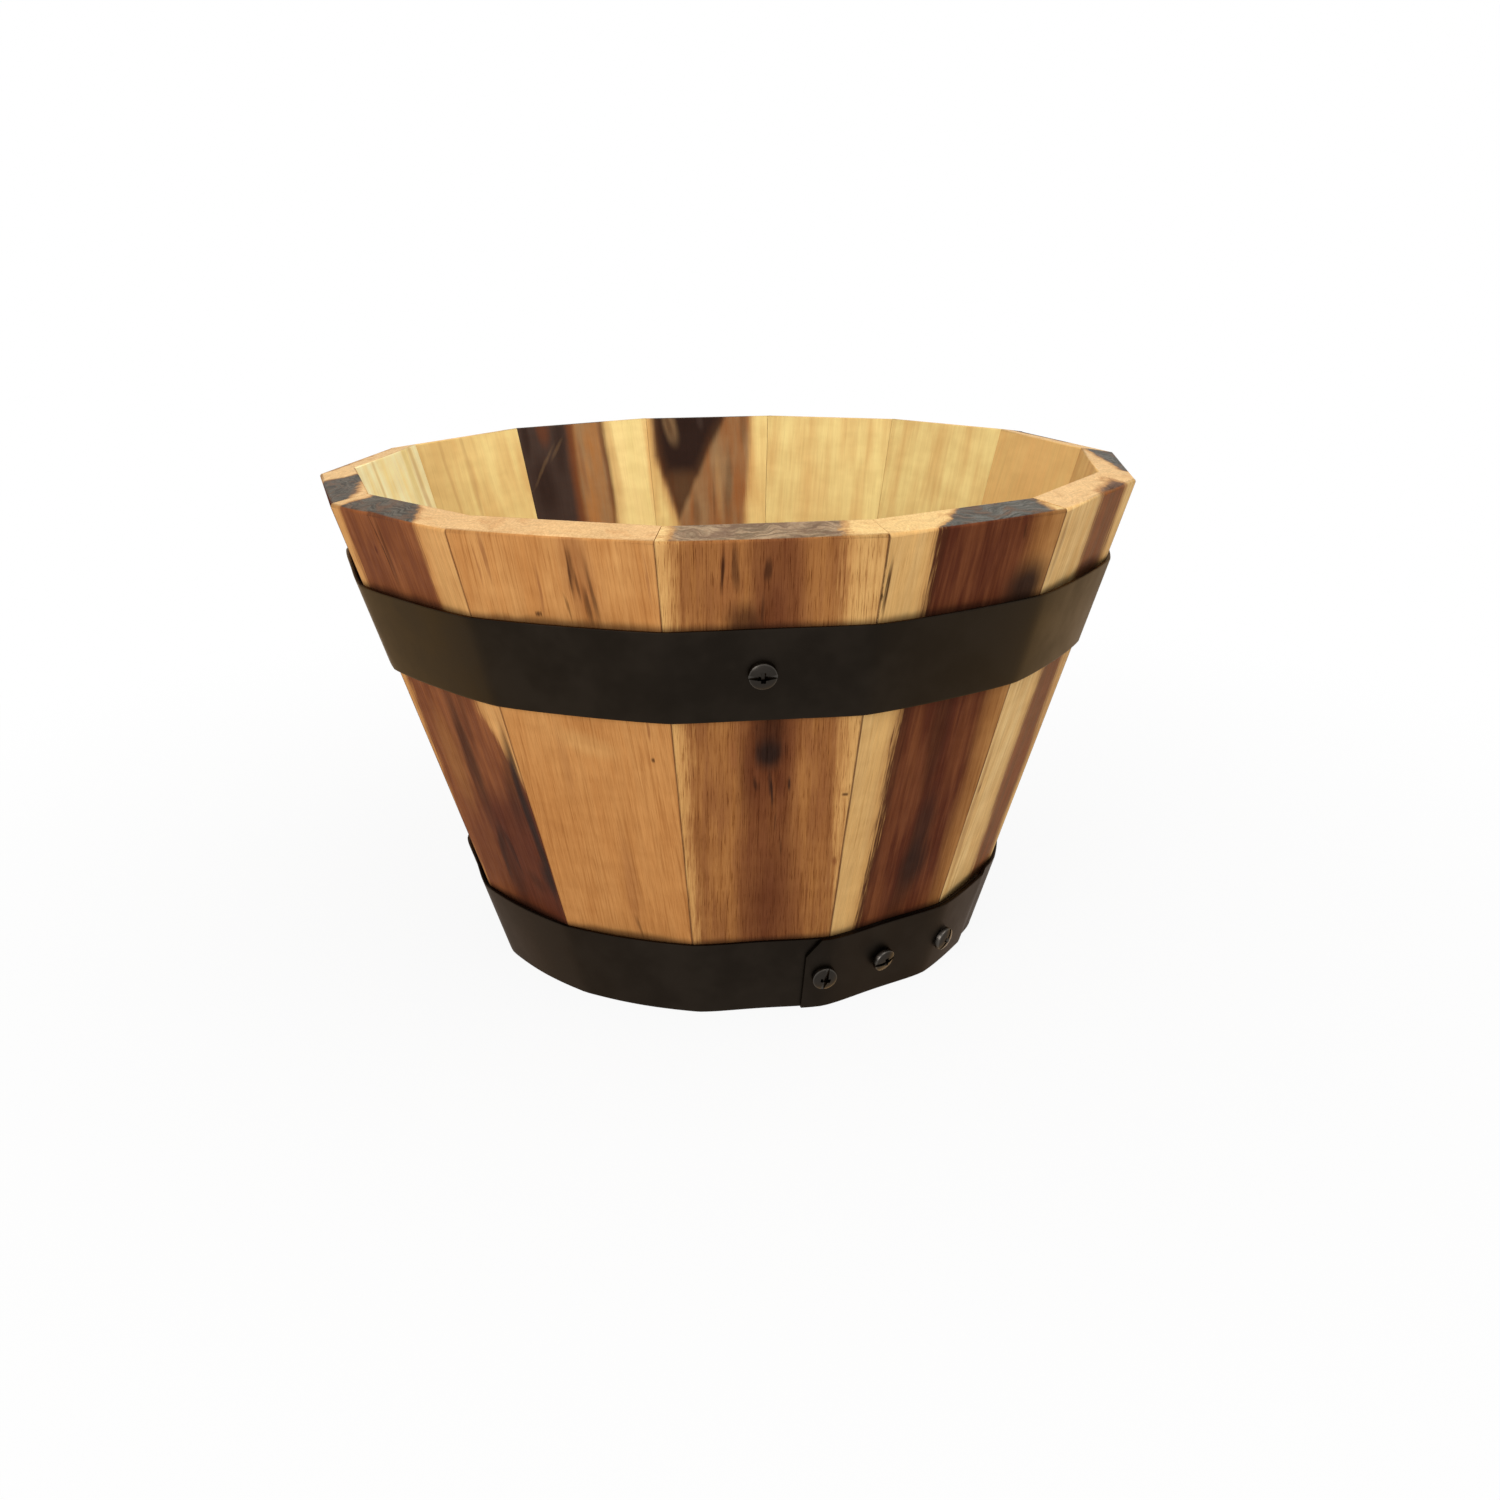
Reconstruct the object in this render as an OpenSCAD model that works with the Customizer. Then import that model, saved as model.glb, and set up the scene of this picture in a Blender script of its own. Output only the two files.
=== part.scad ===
// A wooden barrel planter: a ring of tapered staves stands round a boarded floor,
// and two steel hoops, screwed on, hold it together.
// The front is towards -Y. The origin is on the ground, at the middle of the foot.

/* [Overall size] */
// Diameter of the rim's outer edge, across the stave corners
rim_d = 280; // [255:1:330]
// Diameter of the foot, across the stave corners
foot_d = 182; // [165:1:210]
// Height of the rim's outer edge
height = 166; // [150:1:220]
// How much higher the rim's inner edge stands, as the staves' ends are cut aslant
rim_rise = 2; // [0:0.25:3]

/* [Staves] */
// Thickness of a stave, square to its faces
stave_t = 12; // [10:0.5:15]
// Gap between neighbouring staves
stave_gap = 0.1; // [0.05:0.05:0.3]
// Radius of the rounded edges of the rim
rim_round = 1.5; // [0.5:0.25:3]

/* [Floor] */
// Height of the floor's underside above the ground
floor_lift = 9; // [7:0.5:12]
// Thickness of the floor boards
floor_t = 12; // [10:0.5:15]
// Width of the middle floor board
middle_board_w = 58; // [48:1:70]
// Gap between neighbouring floor boards
board_gap = 0.2; // [0.1:0.05:0.5]
// Depth of the groove in the staves that holds the floor
groove_depth = 4; // [3:0.25:5]
// Clearance of the floor in that groove
groove_fit = 0.15; // [0.05:0.05:0.3]
// Diameter of a drain hole
drain_d = 12; // [8:1:16]
// Distance between drain holes
drain_pitch = 45; // [30:1:55]

/* [Floor dowels] */
// Diameter of a dowel
dowel_d = 6; // [5:0.5:8]
// Length of a dowel
dowel_len = 30; // [20:1:36]
// Distance between the two dowels of a joint
dowel_pitch = 70; // [60:1:90]
// Clearance round a dowel
dowel_fit = 0.1; // [0.05:0.05:0.2]

/* [Hoops] */
// Width of the strap that the hoops are bent from
strap_w = 30; // [24:1:34]
// Thickness of the strap
strap_t = 1.2; // [0.8:0.1:2]
// Clearance between a hoop and the stave corners
hoop_fit = 0.1; // [0.05:0.05:0.3]
// How far a hoop bows out between two corners of a stave that it isn't screwed to
hoop_bow = 1.5; // [0:0.1:2]
// Distance from the rim down to the upper hoop
upper_hoop_drop = 26; // [15:1:40]
// Length over which the ends of a strap lap
lap_len = 76; // [66:1:84]
// Gap between the two layers of a lap
lap_gap = 0.1; // [0.1:0.05:0.3]
// Width of the clipped corner at the end of a strap
clip_w = 5.5; // [2:0.5:8]
// Height of that clipped corner
clip_h = 9; // [4:0.5:12]
// Distance from a strap's inner end to where the outer layer starts to step down
joggle_clear = 1; // [0.5:0.1:2]
// Length of that step down
joggle_len = 6; // [4:0.5:9]

/* [Screws] */
// Diameter of a screw head
head_d = 8.2; // [7:0.1:9]
// Height of a screw head
head_h = 2.6; // [2:0.1:3.2]
// Height of the straight side of a screw head
head_side = 1; // [0.6:0.1:1.4]
// Diameter of a screw's shank
shank_d = 4.2; // [3.5:0.1:5]
// Length of the point of a screw
point_len = 3; // [2:0.5:4]
// Length of the upper hoop's screws, under the head
upper_screw_len = 12; // [10:0.5:12.5]
// Length of the lower hoop's screws, under the head
lower_screw_len = 20; // [16:0.5:25]
// Clearance round a screw's shank and under its head
screw_fit = 0.1; // [0.05:0.05:0.2]
// Width of the arms of the cross recess and of the slot
recess_w = 1.3; // [1:0.1:1.6]
// Span of the cross recess
recess_span = 4.6; // [4:0.1:5.2]
// Depth of the cross recess
recess_depth = 1.5; // [1:0.1:1.8]
// Depth of the slot across the upper hoop's screws
slot_depth = 0.9; // [0.6:0.1:1.2]
// Distance from the end of a lap back to its first screw
lap_end_margin = 6.8; // [6:0.1:10]
// Distance from a stave joint to a lap's first screw
joint_margin = 1; // [0.5:0.1:2]
// How far the lower hoop's screws sit below the middle of the strap
lower_screw_drop = 0.4; // [0:0.2:4]
// How far the last screw of the lower lap sits below the others
last_screw_drop = 1.6; // [0:0.2:3]
// Sideways shift of the lower lap's second screw from the middle of its stave
lower_second_shift = 0.5; // [-4:0.5:4]
// Sideways shift of the lower lap's third screw from the middle of its stave
lower_third_shift = -15; // [-15:0.5:-6]
// Sideways shift of the lower hoop's hold-down screw from the middle of its stave
lower_hold_shift = 1.5; // [0.5:0.5:4]
// Sideways shift of the upper lap's second screw from the middle of its stave
upper_second_shift = -5; // [-8:0.5:-2]
// Sideways shift of the upper lap's third screw from the middle of its stave
upper_third_shift = 17; // [14:0.5:20]
// Sideways shift of the upper hoop's hold-down screw from the middle of its stave
upper_hold_shift = -1.5; // [-4:0.5:-0.5]

/* [Hidden] */
$fn = 48;

// Widths of the staves at the rim, counterclockwise from the left. They share out the ring.
stave_widths = [64, 62, 62, 62, 63, 61, 62, 65, 61, 61, 58, 65, 62, 64];
// Direction of the first joint, from +X
first_joint_angle = -175.5;
stave_count = len(stave_widths);

stave_colours = [
    "#a5683c", "#8c4d2d", "#c98f55", "#a9733f", "#7b4227", "#c99b62", "#cda269",
    "#d0a970", "#d2ab72", "#cfa76e", "#b98a55", "#8a5a38", "#c79d63", "#c9a067"
];
floor_colour = "#b98d5a";
dowel_colour = "#d8b888";
hoop_colour = "#2a251f";
screw_colour = "#33302b";

function sum_to(list, count) = count == 0 ? 0 : list[count - 1] + sum_to(list, count - 1);
ring_width = sum_to(stave_widths, stave_count);

// Direction of joint i, and the middle and half angle of stave i, which lies after it
function joint_at(i) = first_joint_angle + 360 * sum_to(stave_widths, i) / ring_width;
function middle_of(i) = (joint_at(i) + joint_at(i + 1)) / 2;
function half_of(i) = (joint_at(i + 1) - joint_at(i)) / 2;

// The stave that faces direction a
function stave_facing(a) =
    let (turned = a - 360 * floor((a - first_joint_angle) / 360))
    len([for (i = [1 : stave_count - 1]) if (joint_at(i) <= turned) i]);
front_stave = stave_facing(-90);
back_stave = stave_facing(90);

// Radius of the stave corners at height z, and of the middle of a stave's outer and inner face
function corner_r(z) = foot_d / 2 + (rim_d - foot_d) / 2 * z / height;
function face_r(i, z) = corner_r(z) * cos(half_of(i));
function inner_r(i, z) = face_r(i, z) - stave_t / cos(flare_of(i));
function half_width(i, z) = corner_r(z) * sin(half_of(i));

// Lean of a stave's face, and of its corners
function flare_of(i) = atan((rim_d - foot_d) / 2 * cos(half_of(i)) / height);
corner_flare = atan((rim_d - foot_d) / 2 / height);

// Heights of the groove and radius of its wall
groove_bottom = floor_lift - groove_fit;
groove_top = floor_lift + floor_t + groove_fit;
function groove_r(i) = inner_r(i, floor_lift + floor_t / 2) + groove_depth;
floor_corner_r = min([for (i = [0 : stave_count - 1]) (groove_r(i) - groove_fit) / cos(half_of(i))]);

// What the strap measures upwards and outwards, since it leans with the staves
strap_rise = strap_w * cos(corner_flare);
strap_x = strap_t / cos(corner_flare);
lower_hoop_z = 0;
upper_hoop_z = height - upper_hoop_drop - strap_rise;

// Each screw is [stave, distance sideways from its middle, height, layers of strap under the head]
lower_screw_z = lower_hoop_z + strap_rise / 2 - lower_screw_drop;
upper_screw_z = upper_hoop_z + strap_rise / 2;
function first_lap_screw(i, z) = [i, half_width(i, z) - joint_margin, z, 2];
lower_screws = [
    first_lap_screw(front_stave, lower_screw_z),
    [front_stave + 1, lower_second_shift, lower_screw_z, 2],
    [front_stave + 2, lower_third_shift, lower_screw_z - last_screw_drop, 2],
    [back_stave, lower_hold_shift, lower_screw_z, 1]
];
upper_screws = [
    first_lap_screw(back_stave, upper_screw_z),
    [back_stave + 1, upper_second_shift, upper_screw_z, 2],
    [back_stave + 1, upper_third_shift, upper_screw_z, 2],
    [front_stave, upper_hold_shift, upper_screw_z, 1]
];

STAVES = [for (i = [1 : stave_count]) str("stave_", i < 10 ? "0" : "", i)];

// ---- Staves ----

// Points of a round of radius r at corner b, on the way from a to c
function round_at(a, b, c, r, steps = 4) =
    let (
        to_a = (a - b) / norm(a - b),
        to_c = (c - b) / norm(c - b),
        half = acos(to_a * to_c) / 2,
        centre = b + (to_a + to_c) / norm(to_a + to_c) * r / sin(half),
        start = b + to_a * r / tan(half) - centre,
        end = b + to_c * r / tan(half) - centre
    )
    [for (k = [0 : steps])
        let (between = start * (steps - k) + end * k)
        centre + between * r / norm(between)];

// Section of a stave along its middle: distance from the axis, and height
function stave_section(i) =
    let (
        outer_foot = [face_r(i, 0), 0],
        outer_rim = [face_r(i, height), height],
        inner_rim = [inner_r(i, height + rim_rise), height + rim_rise],
        inner_foot = [inner_r(i, 0), 0]
    )
    concat(
        [outer_foot],
        round_at(outer_foot, outer_rim, inner_rim, rim_round),
        round_at(outer_rim, inner_rim, inner_foot, rim_round),
        [
            [inner_r(i, groove_top), groove_top],
            [groove_r(i), groove_top],
            [groove_r(i), groove_bottom],
            [inner_r(i, groove_bottom), groove_bottom],
            inner_foot
        ]
    );

// The slice of the ring between joints i and i + 1, about +X, less half a gap on each side
module stave_slice(i) {
    tip = stave_gap / 2 / sin(half_of(i));
    reach = rim_d;
    translate([0, 0, -stave_t])
        linear_extrude(height + 2 * stave_t)
            polygon([
                [tip, 0],
                [tip + reach * cos(half_of(i)), -reach * sin(half_of(i))],
                [tip + reach * cos(half_of(i)), reach * sin(half_of(i))]
            ]);
}

module stave(i) {
    color(stave_colours[i])
    difference() {
        rotate([0, 0, middle_of(i)])
        intersection() {
            rotate([90, 0, 0])
                linear_extrude(rim_d, center = true)
                    polygon(stave_section(i));
            stave_slice(i);
        }
        for (screw = concat(lower_screws, upper_screws))
            if (abs(screw[0] - i) <= 1)
                screw_hole(screw);
    }
}

// ---- Floor ----

// The part of the floor between two distances along X, with its drain and dowel holes
module floor_board(from_x, to_x) {
    color(floor_colour)
    difference() {
        intersection() {
            translate([0, 0, floor_lift])
                linear_extrude(floor_t)
                    polygon([for (i = [0 : stave_count - 1])
                        floor_corner_r * [cos(joint_at(i)), sin(joint_at(i))]]);
            translate([from_x, -floor_corner_r, 0])
                cube([to_x - from_x, 2 * floor_corner_r, height]);
        }
        for (side = [-1, 0, 1])
            translate([0, side * drain_pitch, 0])
                cylinder(h = height, d = drain_d);
        dowels(dowel_d / 2 + dowel_fit, dowel_len + 2 * dowel_fit);
        for (screw = lower_screws)
            screw_hole(screw);
    }
}

module floor_board_left() {
    floor_board(-floor_corner_r, -middle_board_w / 2 - board_gap);
}

module floor_board_middle() {
    floor_board(-middle_board_w / 2, middle_board_w / 2);
}

module floor_board_right() {
    floor_board(middle_board_w / 2 + board_gap, floor_corner_r);
}

// The four dowels, or the holes for them, across the joints of the floor
module dowels(r, length) {
    for (x = [-1, 1], y = [-1, 1])
        translate([
            x * (middle_board_w + board_gap) / 2,
            y * dowel_pitch / 2,
            floor_lift + floor_t / 2
        ])
            rotate([0, 90, 0])
                cylinder(h = length, r = r, center = true);
}

module floor_dowels() {
    color(dowel_colour)
        dowels(dowel_d / 2, dowel_len);
}

// ---- Screws ----

// Stands its children on the outer face of stave i, with +Z out of the face and +X down it
module on_face(i, sideways, z) {
    rotate([0, 0, middle_of(i)])
        translate([face_r(i, z), sideways, z])
            rotate([0, 90 + flare_of(i), 0])
                children();
}

// Distance from a stave's face out to the top of so many layers of strap
function strap_top(layers) =
    (hoop_fit + layers * strap_x + (layers - 1) * lap_gap) * cos(corner_flare);

module at_screw(screw) {
    on_face(screw[0], screw[1], screw[2])
        translate([0, 0, strap_top(screw[3]) + screw_fit])
            children();
}

function screw_len(screw) = screw[2] > height / 2 ? upper_screw_len : lower_screw_len;

module screw_hole(screw) {
    at_screw(screw)
        translate([0, 0, -screw_len(screw) - screw_fit])
            cylinder(h = screw_len(screw) + head_h, r = shank_d / 2 + screw_fit);
}

// A pan-head wood screw with a cross recess, and with a slot if asked for
module screw(length, slotted) {
    dome_h = head_h - head_side;
    dome_r = (pow(head_d / 2, 2) + pow(dome_h, 2)) / 2 / dome_h;
    difference() {
        union() {
            intersection() {
                cylinder(h = head_h, d = head_d);
                translate([0, 0, head_h - dome_r])
                    sphere(r = dome_r);
            }
            translate([0, 0, point_len - length])
                cylinder(h = length - point_len + head_side / 2, d = shank_d);
            translate([0, 0, -length])
                cylinder(h = point_len, d1 = shank_d / 8, d2 = shank_d);
        }
        for (turn = [0, 90])
            rotate([0, 0, turn])
                translate([0, 0, head_h])
                    cube([recess_w, recess_span, 2 * recess_depth], center = true);
        if (slotted)
            translate([0, 0, head_h])
                cube([recess_w, 2 * head_d, 2 * slot_depth], center = true);
    }
}

module lower_hoop_screws() {
    color(screw_colour)
        for (screw = lower_screws)
            at_screw(screw)
                screw(lower_screw_len, false);
}

module upper_hoop_screws() {
    color(screw_colour)
        for (screw = upper_screws)
            at_screw(screw)
                screw(upper_screw_len, true);
}

// ---- Hoops ----

function sorted(list) =
    len(list) < 2 ? list
    : let (rest = [for (k = [1 : len(list) - 1]) list[k]])
      concat(
          sorted([for (value = rest) if (value < list[0]) value]),
          [list[0]],
          sorted([for (value = rest) if (value >= list[0]) value])
      );

// The gap between the hoop and the ring of staves at direction a: none at a corner
function bow_at(a, flat_staves) =
    let (
        i = stave_facing(a),
        turned = a - 360 * round((a - middle_of(i)) / 360),
        across = (turned - middle_of(i)) / half_of(i),
        flat = len([for (stave = flat_staves) if (stave == i) stave]) > 0
    )
    flat ? 0 : hoop_bow * (1 - pow(across, 2));

// Radius of the ring of flat faces at direction a and height z
function ring_r(a, z) =
    let (i = stave_facing(a))
    face_r(i, z) / cos(a - middle_of(i));

// A strap bent once round the staves from height z, its outer end lapped over its inner end.
// The outer end is cut square on the stave of the lap's first screw, with its top corner clipped.
module hoop(z, screws) {
    lap_stave = screws[0][0];
    lap_end = screws[0][1] - lap_end_margin;
    spare = strap_w / 10;
    middle_z = z + strap_rise / 2;
    degrees_per_mm = 180 / PI / corner_r(middle_z);
    face_middle = middle_of(lap_stave);
    start = face_middle + atan((lap_end - spare) / face_r(lap_stave, middle_z));
    inner_end = face_middle + atan(lap_end / face_r(lap_stave, middle_z)) + lap_len * degrees_per_mm;
    rise_end = inner_end + joggle_clear * degrees_per_mm;
    rise_start = rise_end + joggle_len * degrees_per_mm;
    steps = 4;
    bends = [
        for (turn = [0, 360], i = [0 : stave_count - 1], k = [0 : steps - 1])
            joint_at(i) + turn + 2 * half_of(i) * k / steps
    ];
    stations = sorted(concat(
        [start, rise_end, rise_start, inner_end + 360],
        [for (a = bends) if (a > start && a < inner_end + 360) a]
    ));
    flat_staves = [for (screw = screws) screw[0]];
    points = [
        for (
            a = stations,
            corner = [[0, 0], [strap_x, 0], [strap_x, strap_rise], [0, strap_rise]]
        )
            let (
                lift = min(1, max(0, (rise_start - a) / (rise_start - rise_end))),
                r = ring_r(a, z + corner[1]) + hoop_fit + bow_at(a, flat_staves)
                    + lift * (strap_x + lap_gap) + corner[0]
            )
            [r * cos(a), r * sin(a), z + corner[1]]
    ];
    last = 4 * (len(stations) - 1);
    faces = concat(
        [[0, 3, 2, 1], [last, last + 1, last + 2, last + 3]],
        [
            for (k = [0 : len(stations) - 2], side = [0 : 3])
                let (near = 4 * k + side, next = 4 * k + (side + 1) % 4)
                each [[near, next, next + 4], [near, next + 4, near + 4]]
        ]
    );
    color(hoop_colour)
    difference() {
        polyhedron(points, faces);
        on_face(lap_stave, 0, middle_z)
            translate([0, lap_end, strap_top(1) + lap_gap / 2])
                linear_extrude(5 * strap_t)
                    polygon([
                        [-strap_w, -2 * spare],
                        [-strap_w, clip_w * (strap_w / 2 + clip_h) / clip_h],
                        [clip_h - strap_w / 2, 0],
                        [strap_w, 0],
                        [strap_w, -2 * spare]
                    ]);
        for (screw = screws)
            screw_hole(screw);
    }
}

module lower_hoop() {
    hoop(lower_hoop_z, lower_screws);
}

module upper_hoop() {
    hoop(upper_hoop_z, upper_screws);
}

for (i = [0 : stave_count - 1])
    stave(i);
floor_board_left();
floor_board_middle();
floor_board_right();
floor_dowels();
lower_hoop();
upper_hoop();
lower_hoop_screws();
upper_hoop_screws();
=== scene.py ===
import math
from collections import namedtuple
from functools import partial, reduce

import bmesh
import bpy
from bpy.props import FloatProperty, FloatVectorProperty, PointerProperty
from bpy.types import Operator, Panel, PropertyGroup
from mathutils import Matrix, Vector, noise


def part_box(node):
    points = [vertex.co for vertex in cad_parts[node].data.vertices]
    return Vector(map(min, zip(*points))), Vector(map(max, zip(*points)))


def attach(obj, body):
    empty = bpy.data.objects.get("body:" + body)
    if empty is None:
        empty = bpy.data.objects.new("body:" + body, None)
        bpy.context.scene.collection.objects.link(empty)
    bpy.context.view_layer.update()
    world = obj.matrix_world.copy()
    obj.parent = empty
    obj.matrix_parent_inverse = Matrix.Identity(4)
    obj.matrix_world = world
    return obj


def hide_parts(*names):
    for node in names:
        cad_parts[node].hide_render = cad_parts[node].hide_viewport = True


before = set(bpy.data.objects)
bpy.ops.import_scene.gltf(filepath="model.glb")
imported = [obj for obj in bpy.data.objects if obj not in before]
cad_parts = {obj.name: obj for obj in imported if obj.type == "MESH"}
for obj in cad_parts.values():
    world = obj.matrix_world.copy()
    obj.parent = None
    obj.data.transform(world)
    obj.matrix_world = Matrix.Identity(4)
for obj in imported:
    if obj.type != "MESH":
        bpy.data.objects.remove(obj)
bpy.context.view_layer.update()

bl_info = {
    "name": "Barrel Planter",
    "version": (1, 0, 0),
    "blender": (4, 5, 0),
    "location": "3D View > Sidebar > Planter",
    "description": "Builds a barrel planter of tapered wooden staves held by two screwed steel hoops",
    "category": "Add Mesh",
}

MM = 0.001
RIM_HEIGHT = 166 * MM
# The staves' ends are cut aslant, so the rim's inner edge stands higher than its outer one
RIM_RISE = 2 * MM
STAVE_COUNT = 14
BACK_STAVE = 10


# ---- Settings ----

def number_prop(label, default, tells, least=0, **more):
    return FloatProperty(name=label, description=tells, default=default, min=least, **more)


def size_prop(label, default, tells):
    """A length in metres"""
    return number_prop(label, default, tells, unit="LENGTH", precision=5)


def colour_prop(label, red, green, blue, tells):
    """A colour given as it looks on screen, from 0 to 255"""
    return FloatVectorProperty(
        name=label, description=tells, subtype="COLOR_GAMMA", size=3, min=0, max=1,
        default=(red / 255, green / 255, blue / 255),
    )


class PlanterSizes(PropertyGroup):
    rim_radius: size_prop("Rim radius", 0.140, "Radius of the rim at the stave corners")
    foot_radius: size_prop("Foot radius", 0.091, "Radius of the foot at the stave corners")
    stave_thickness: size_prop("Stave thickness", 0.012, "Thickness of a stave, square to its faces")
    rim_round: size_prop("Rim round", 0.0011, "Radius of the sanded outer edge of the rim")
    inner_rim_round: size_prop("Inner rim round", 0.0006, "Radius of the sanded inner edge of the rim")
    arris: size_prop("Arris", 0.0003, "Width of the broken edge along each stave joint")
    groove_depth: size_prop("Groove depth", 0.004, "Depth of the groove that holds the floor")
    strap_width: size_prop("Strap width", 0.030, "Width of the steel strap of the hoops")
    strap_thickness: size_prop("Strap thickness", 0.0012, "Thickness of that strap")
    lap_length: size_prop("Lap length", 0.076, "Length over which the ends of a strap lap")
    head_diameter: size_prop("Head diameter", 0.0082, "Diameter of a screw head")
    head_height: size_prop("Head height", 0.0026, "Height of a screw head")
    shank_diameter: size_prop("Shank diameter", 0.0042, "Diameter of a screw's shank")


class PlanterColours(PropertyGroup):
    # Mist is made this bright partly as painted light, for the well-lit inner wall of stave_14
    mist: colour_prop("Mist", 240, 234, 188, "Palest greenish sapwood")
    lemon: colour_prop("Lemon", 234, 211, 141, "Pale yellow sapwood")
    cream: colour_prop("Cream", 240, 214, 146, "Bright cream sapwood")
    straw: colour_prop("Straw", 218, 180, 114, "Plain yellow sapwood")
    wheat: colour_prop("Wheat", 207, 165, 106, "Plain golden sapwood")
    gold: colour_prop("Gold", 222, 176, 110, "Bright golden sapwood")
    honey: colour_prop("Honey", 200, 151, 92, "Warm sapwood")
    amber: colour_prop("Amber", 201, 146, 87, "Orange-tan wood")
    toffee: colour_prop("Toffee", 184, 125, 69, "Deeper orange-tan wood")
    hazel: colour_prop("Hazel", 150, 118, 82, "Greyish mid-brown wood")
    walnut: colour_prop("Walnut", 166, 112, 62, "Mid-brown wood")
    nutmeg: colour_prop("Nutmeg", 144, 92, 52, "Mid-brown wood, a little darker")
    chestnut: colour_prop("Chestnut", 134, 80, 46, "Reddish brown heartwood")
    russet: colour_prop("Russet", 109, 61, 36, "Red-brown heartwood")
    plum: colour_prop("Plum", 124, 83, 52, "Purple-brown heartwood")
    mahogany: colour_prop("Mahogany", 85, 42, 26, "Dark red-brown heartwood")
    # Umber also paints shade: inside two cracks, and in the gap above the upper strap on stave_06
    umber: colour_prop("Umber", 61, 34, 21, "Very dark brown streaks")
    # Ebony also paints the grime and painted shadow just above the straps
    ebony: colour_prop("Ebony", 45, 30, 24, "Nearly black streaks and knots")
    char: colour_prop("Char", 68, 53, 46, "Soft black of old knots")
    vanilla: colour_prop("Vanilla", 228, 191, 130, "Pale sapwood, and its end grain")
    peach: colour_prop("Peach", 217, 176, 123, "Warm end grain of the sapwood")
    biscuit: colour_prop("Biscuit", 226, 186, 132, "End grain of the sapwood")
    ash: colour_prop("Ash", 152, 128, 101, "Light grey-brown end grain")
    mocha: colour_prop("Mocha", 110, 84, 67, "Brown end grain")
    slate: colour_prop("Slate", 92, 86, 77, "Dark grey end grain, and rubbed places on steel")
    pewter: colour_prop("Pewter", 99, 96, 89, "Blue-grey end grain")
    hoop_black: colour_prop("Hoop black", 36, 31, 26, "Black finish of the hoops")
    screw_black: colour_prop("Screw black", 50, 46, 42, "Black finish of the screws")
    # Rubbed steel is partly a painted highlight on the edges of the screw heads
    rubbed_steel: colour_prop("Rubbed steel", 150, 145, 138, "Steel on the worn edges of the screws")
    bronze: colour_prop("Bronze", 255, 228, 200, "Tint of the gloss along the black edges")
    # The lower hoop's gloss tint is dimmed from that of the upper hoop: painted shade
    dull_bronze: colour_prop("Dull bronze", 222, 208, 198, "Tint of that gloss on the lower hoop")


class PlanterStage(PropertyGroup):
    lens: number_prop("Lens", 33.58, "Focal length of the camera, in mm", least=10)
    sky: number_prop("Sky", 0.62, "Strength of the light from all round")
    softbox: number_prop("Softbox", 6, "Power of the lamp overhead, in watts")
    fill: number_prop("Fill", 5, "Power of the lamp at the front, in watts")
    floor_reach: size_prop("Floor reach", 3.0, "Half the width of the floor")


def sizes():
    return bpy.context.scene.planter_sizes


def linear(channel):
    """Turns one channel of a screen colour into the linear value that shaders use"""
    return channel / 12.92 if channel <= 0.04045 else ((channel + 0.055) / 1.055) ** 2.4


def colour(name, gain=1.0):
    """One of the planter's colours as linear red, green, blue and alpha"""
    return [linear(c) * gain for c in getattr(bpy.context.scene.planter_colours, name)] + [1.0]


# ---- Places, worked out from the frame ----

Plan = namedtuple("Plan", "middle half")


def stave_name(index):
    return f"stave_{index + 1:02d}"


def stave_plan(index):
    """Direction of a stave's middle and half the angle that it fills, measured on its CAD node"""
    low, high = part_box(stave_name(index))
    towards = math.atan2(low.y + high.y, low.x + high.x)
    turns = []
    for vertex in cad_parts[stave_name(index)].data.vertices:
        turn = math.atan2(vertex.co.y, vertex.co.x) - towards
        turns.append(math.remainder(turn, 2 * math.pi))
    return Plan(towards + (min(turns) + max(turns)) / 2, (max(turns) - min(turns)) / 2)


PLANS = [stave_plan(index) for index in range(STAVE_COUNT)]


def flare():
    """How much larger the rim's radius is than the foot's"""
    return sizes().rim_radius - sizes().foot_radius


def corner_radius(z):
    return sizes().foot_radius + flare() * z / RIM_HEIGHT


def face_radius(index, z):
    return corner_radius(z) * math.cos(PLANS[index].half)


def lean_of(index):
    """Lean of a stave's face"""
    return math.atan(flare() * math.cos(PLANS[index].half) / RIM_HEIGHT)


def corner_lean():
    return math.atan(flare() / RIM_HEIGHT)


def on_face(index, z):
    """Matrix that stands a piece on the middle of a stave's face: +X out of it, +Y sideways, +Z up it"""
    turn = Matrix.Rotation(PLANS[index].middle, 4, "Z")
    place = Matrix.Translation((face_radius(index, z), 0, z))
    return turn @ place @ Matrix.Rotation(lean_of(index), 4, "Y")


# ---- Mesh helpers ----

# Faces that meet at more than this angle, in degrees, have a sharp edge between them
SHARP_ANGLE = 60
# Points closer than this are merged after a cut
MERGE_REACH = 0.01 * MM
# Steps in the rounding of a broken edge, and in that of the rim
ARRIS_STEPS, RIM_STEPS = 2, 4
DRILL_SIDES = 40


def linked(name, data):
    """A new object in the scene that holds this mesh, lamp or camera"""
    made = bpy.data.objects.new(name, data)
    bpy.context.scene.collection.objects.link(made)
    return made


def new_object(name, bm):
    mesh = bpy.data.meshes.new(name)
    bm.to_mesh(mesh)
    bm.free()
    return linked(name, mesh)


def translated(bm, grown, by):
    """Moves what an extrusion has grown"""
    verts = [part for part in grown["geom"] if isinstance(part, bmesh.types.BMVert)]
    bmesh.ops.translate(bm, verts=verts, vec=by)


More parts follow.
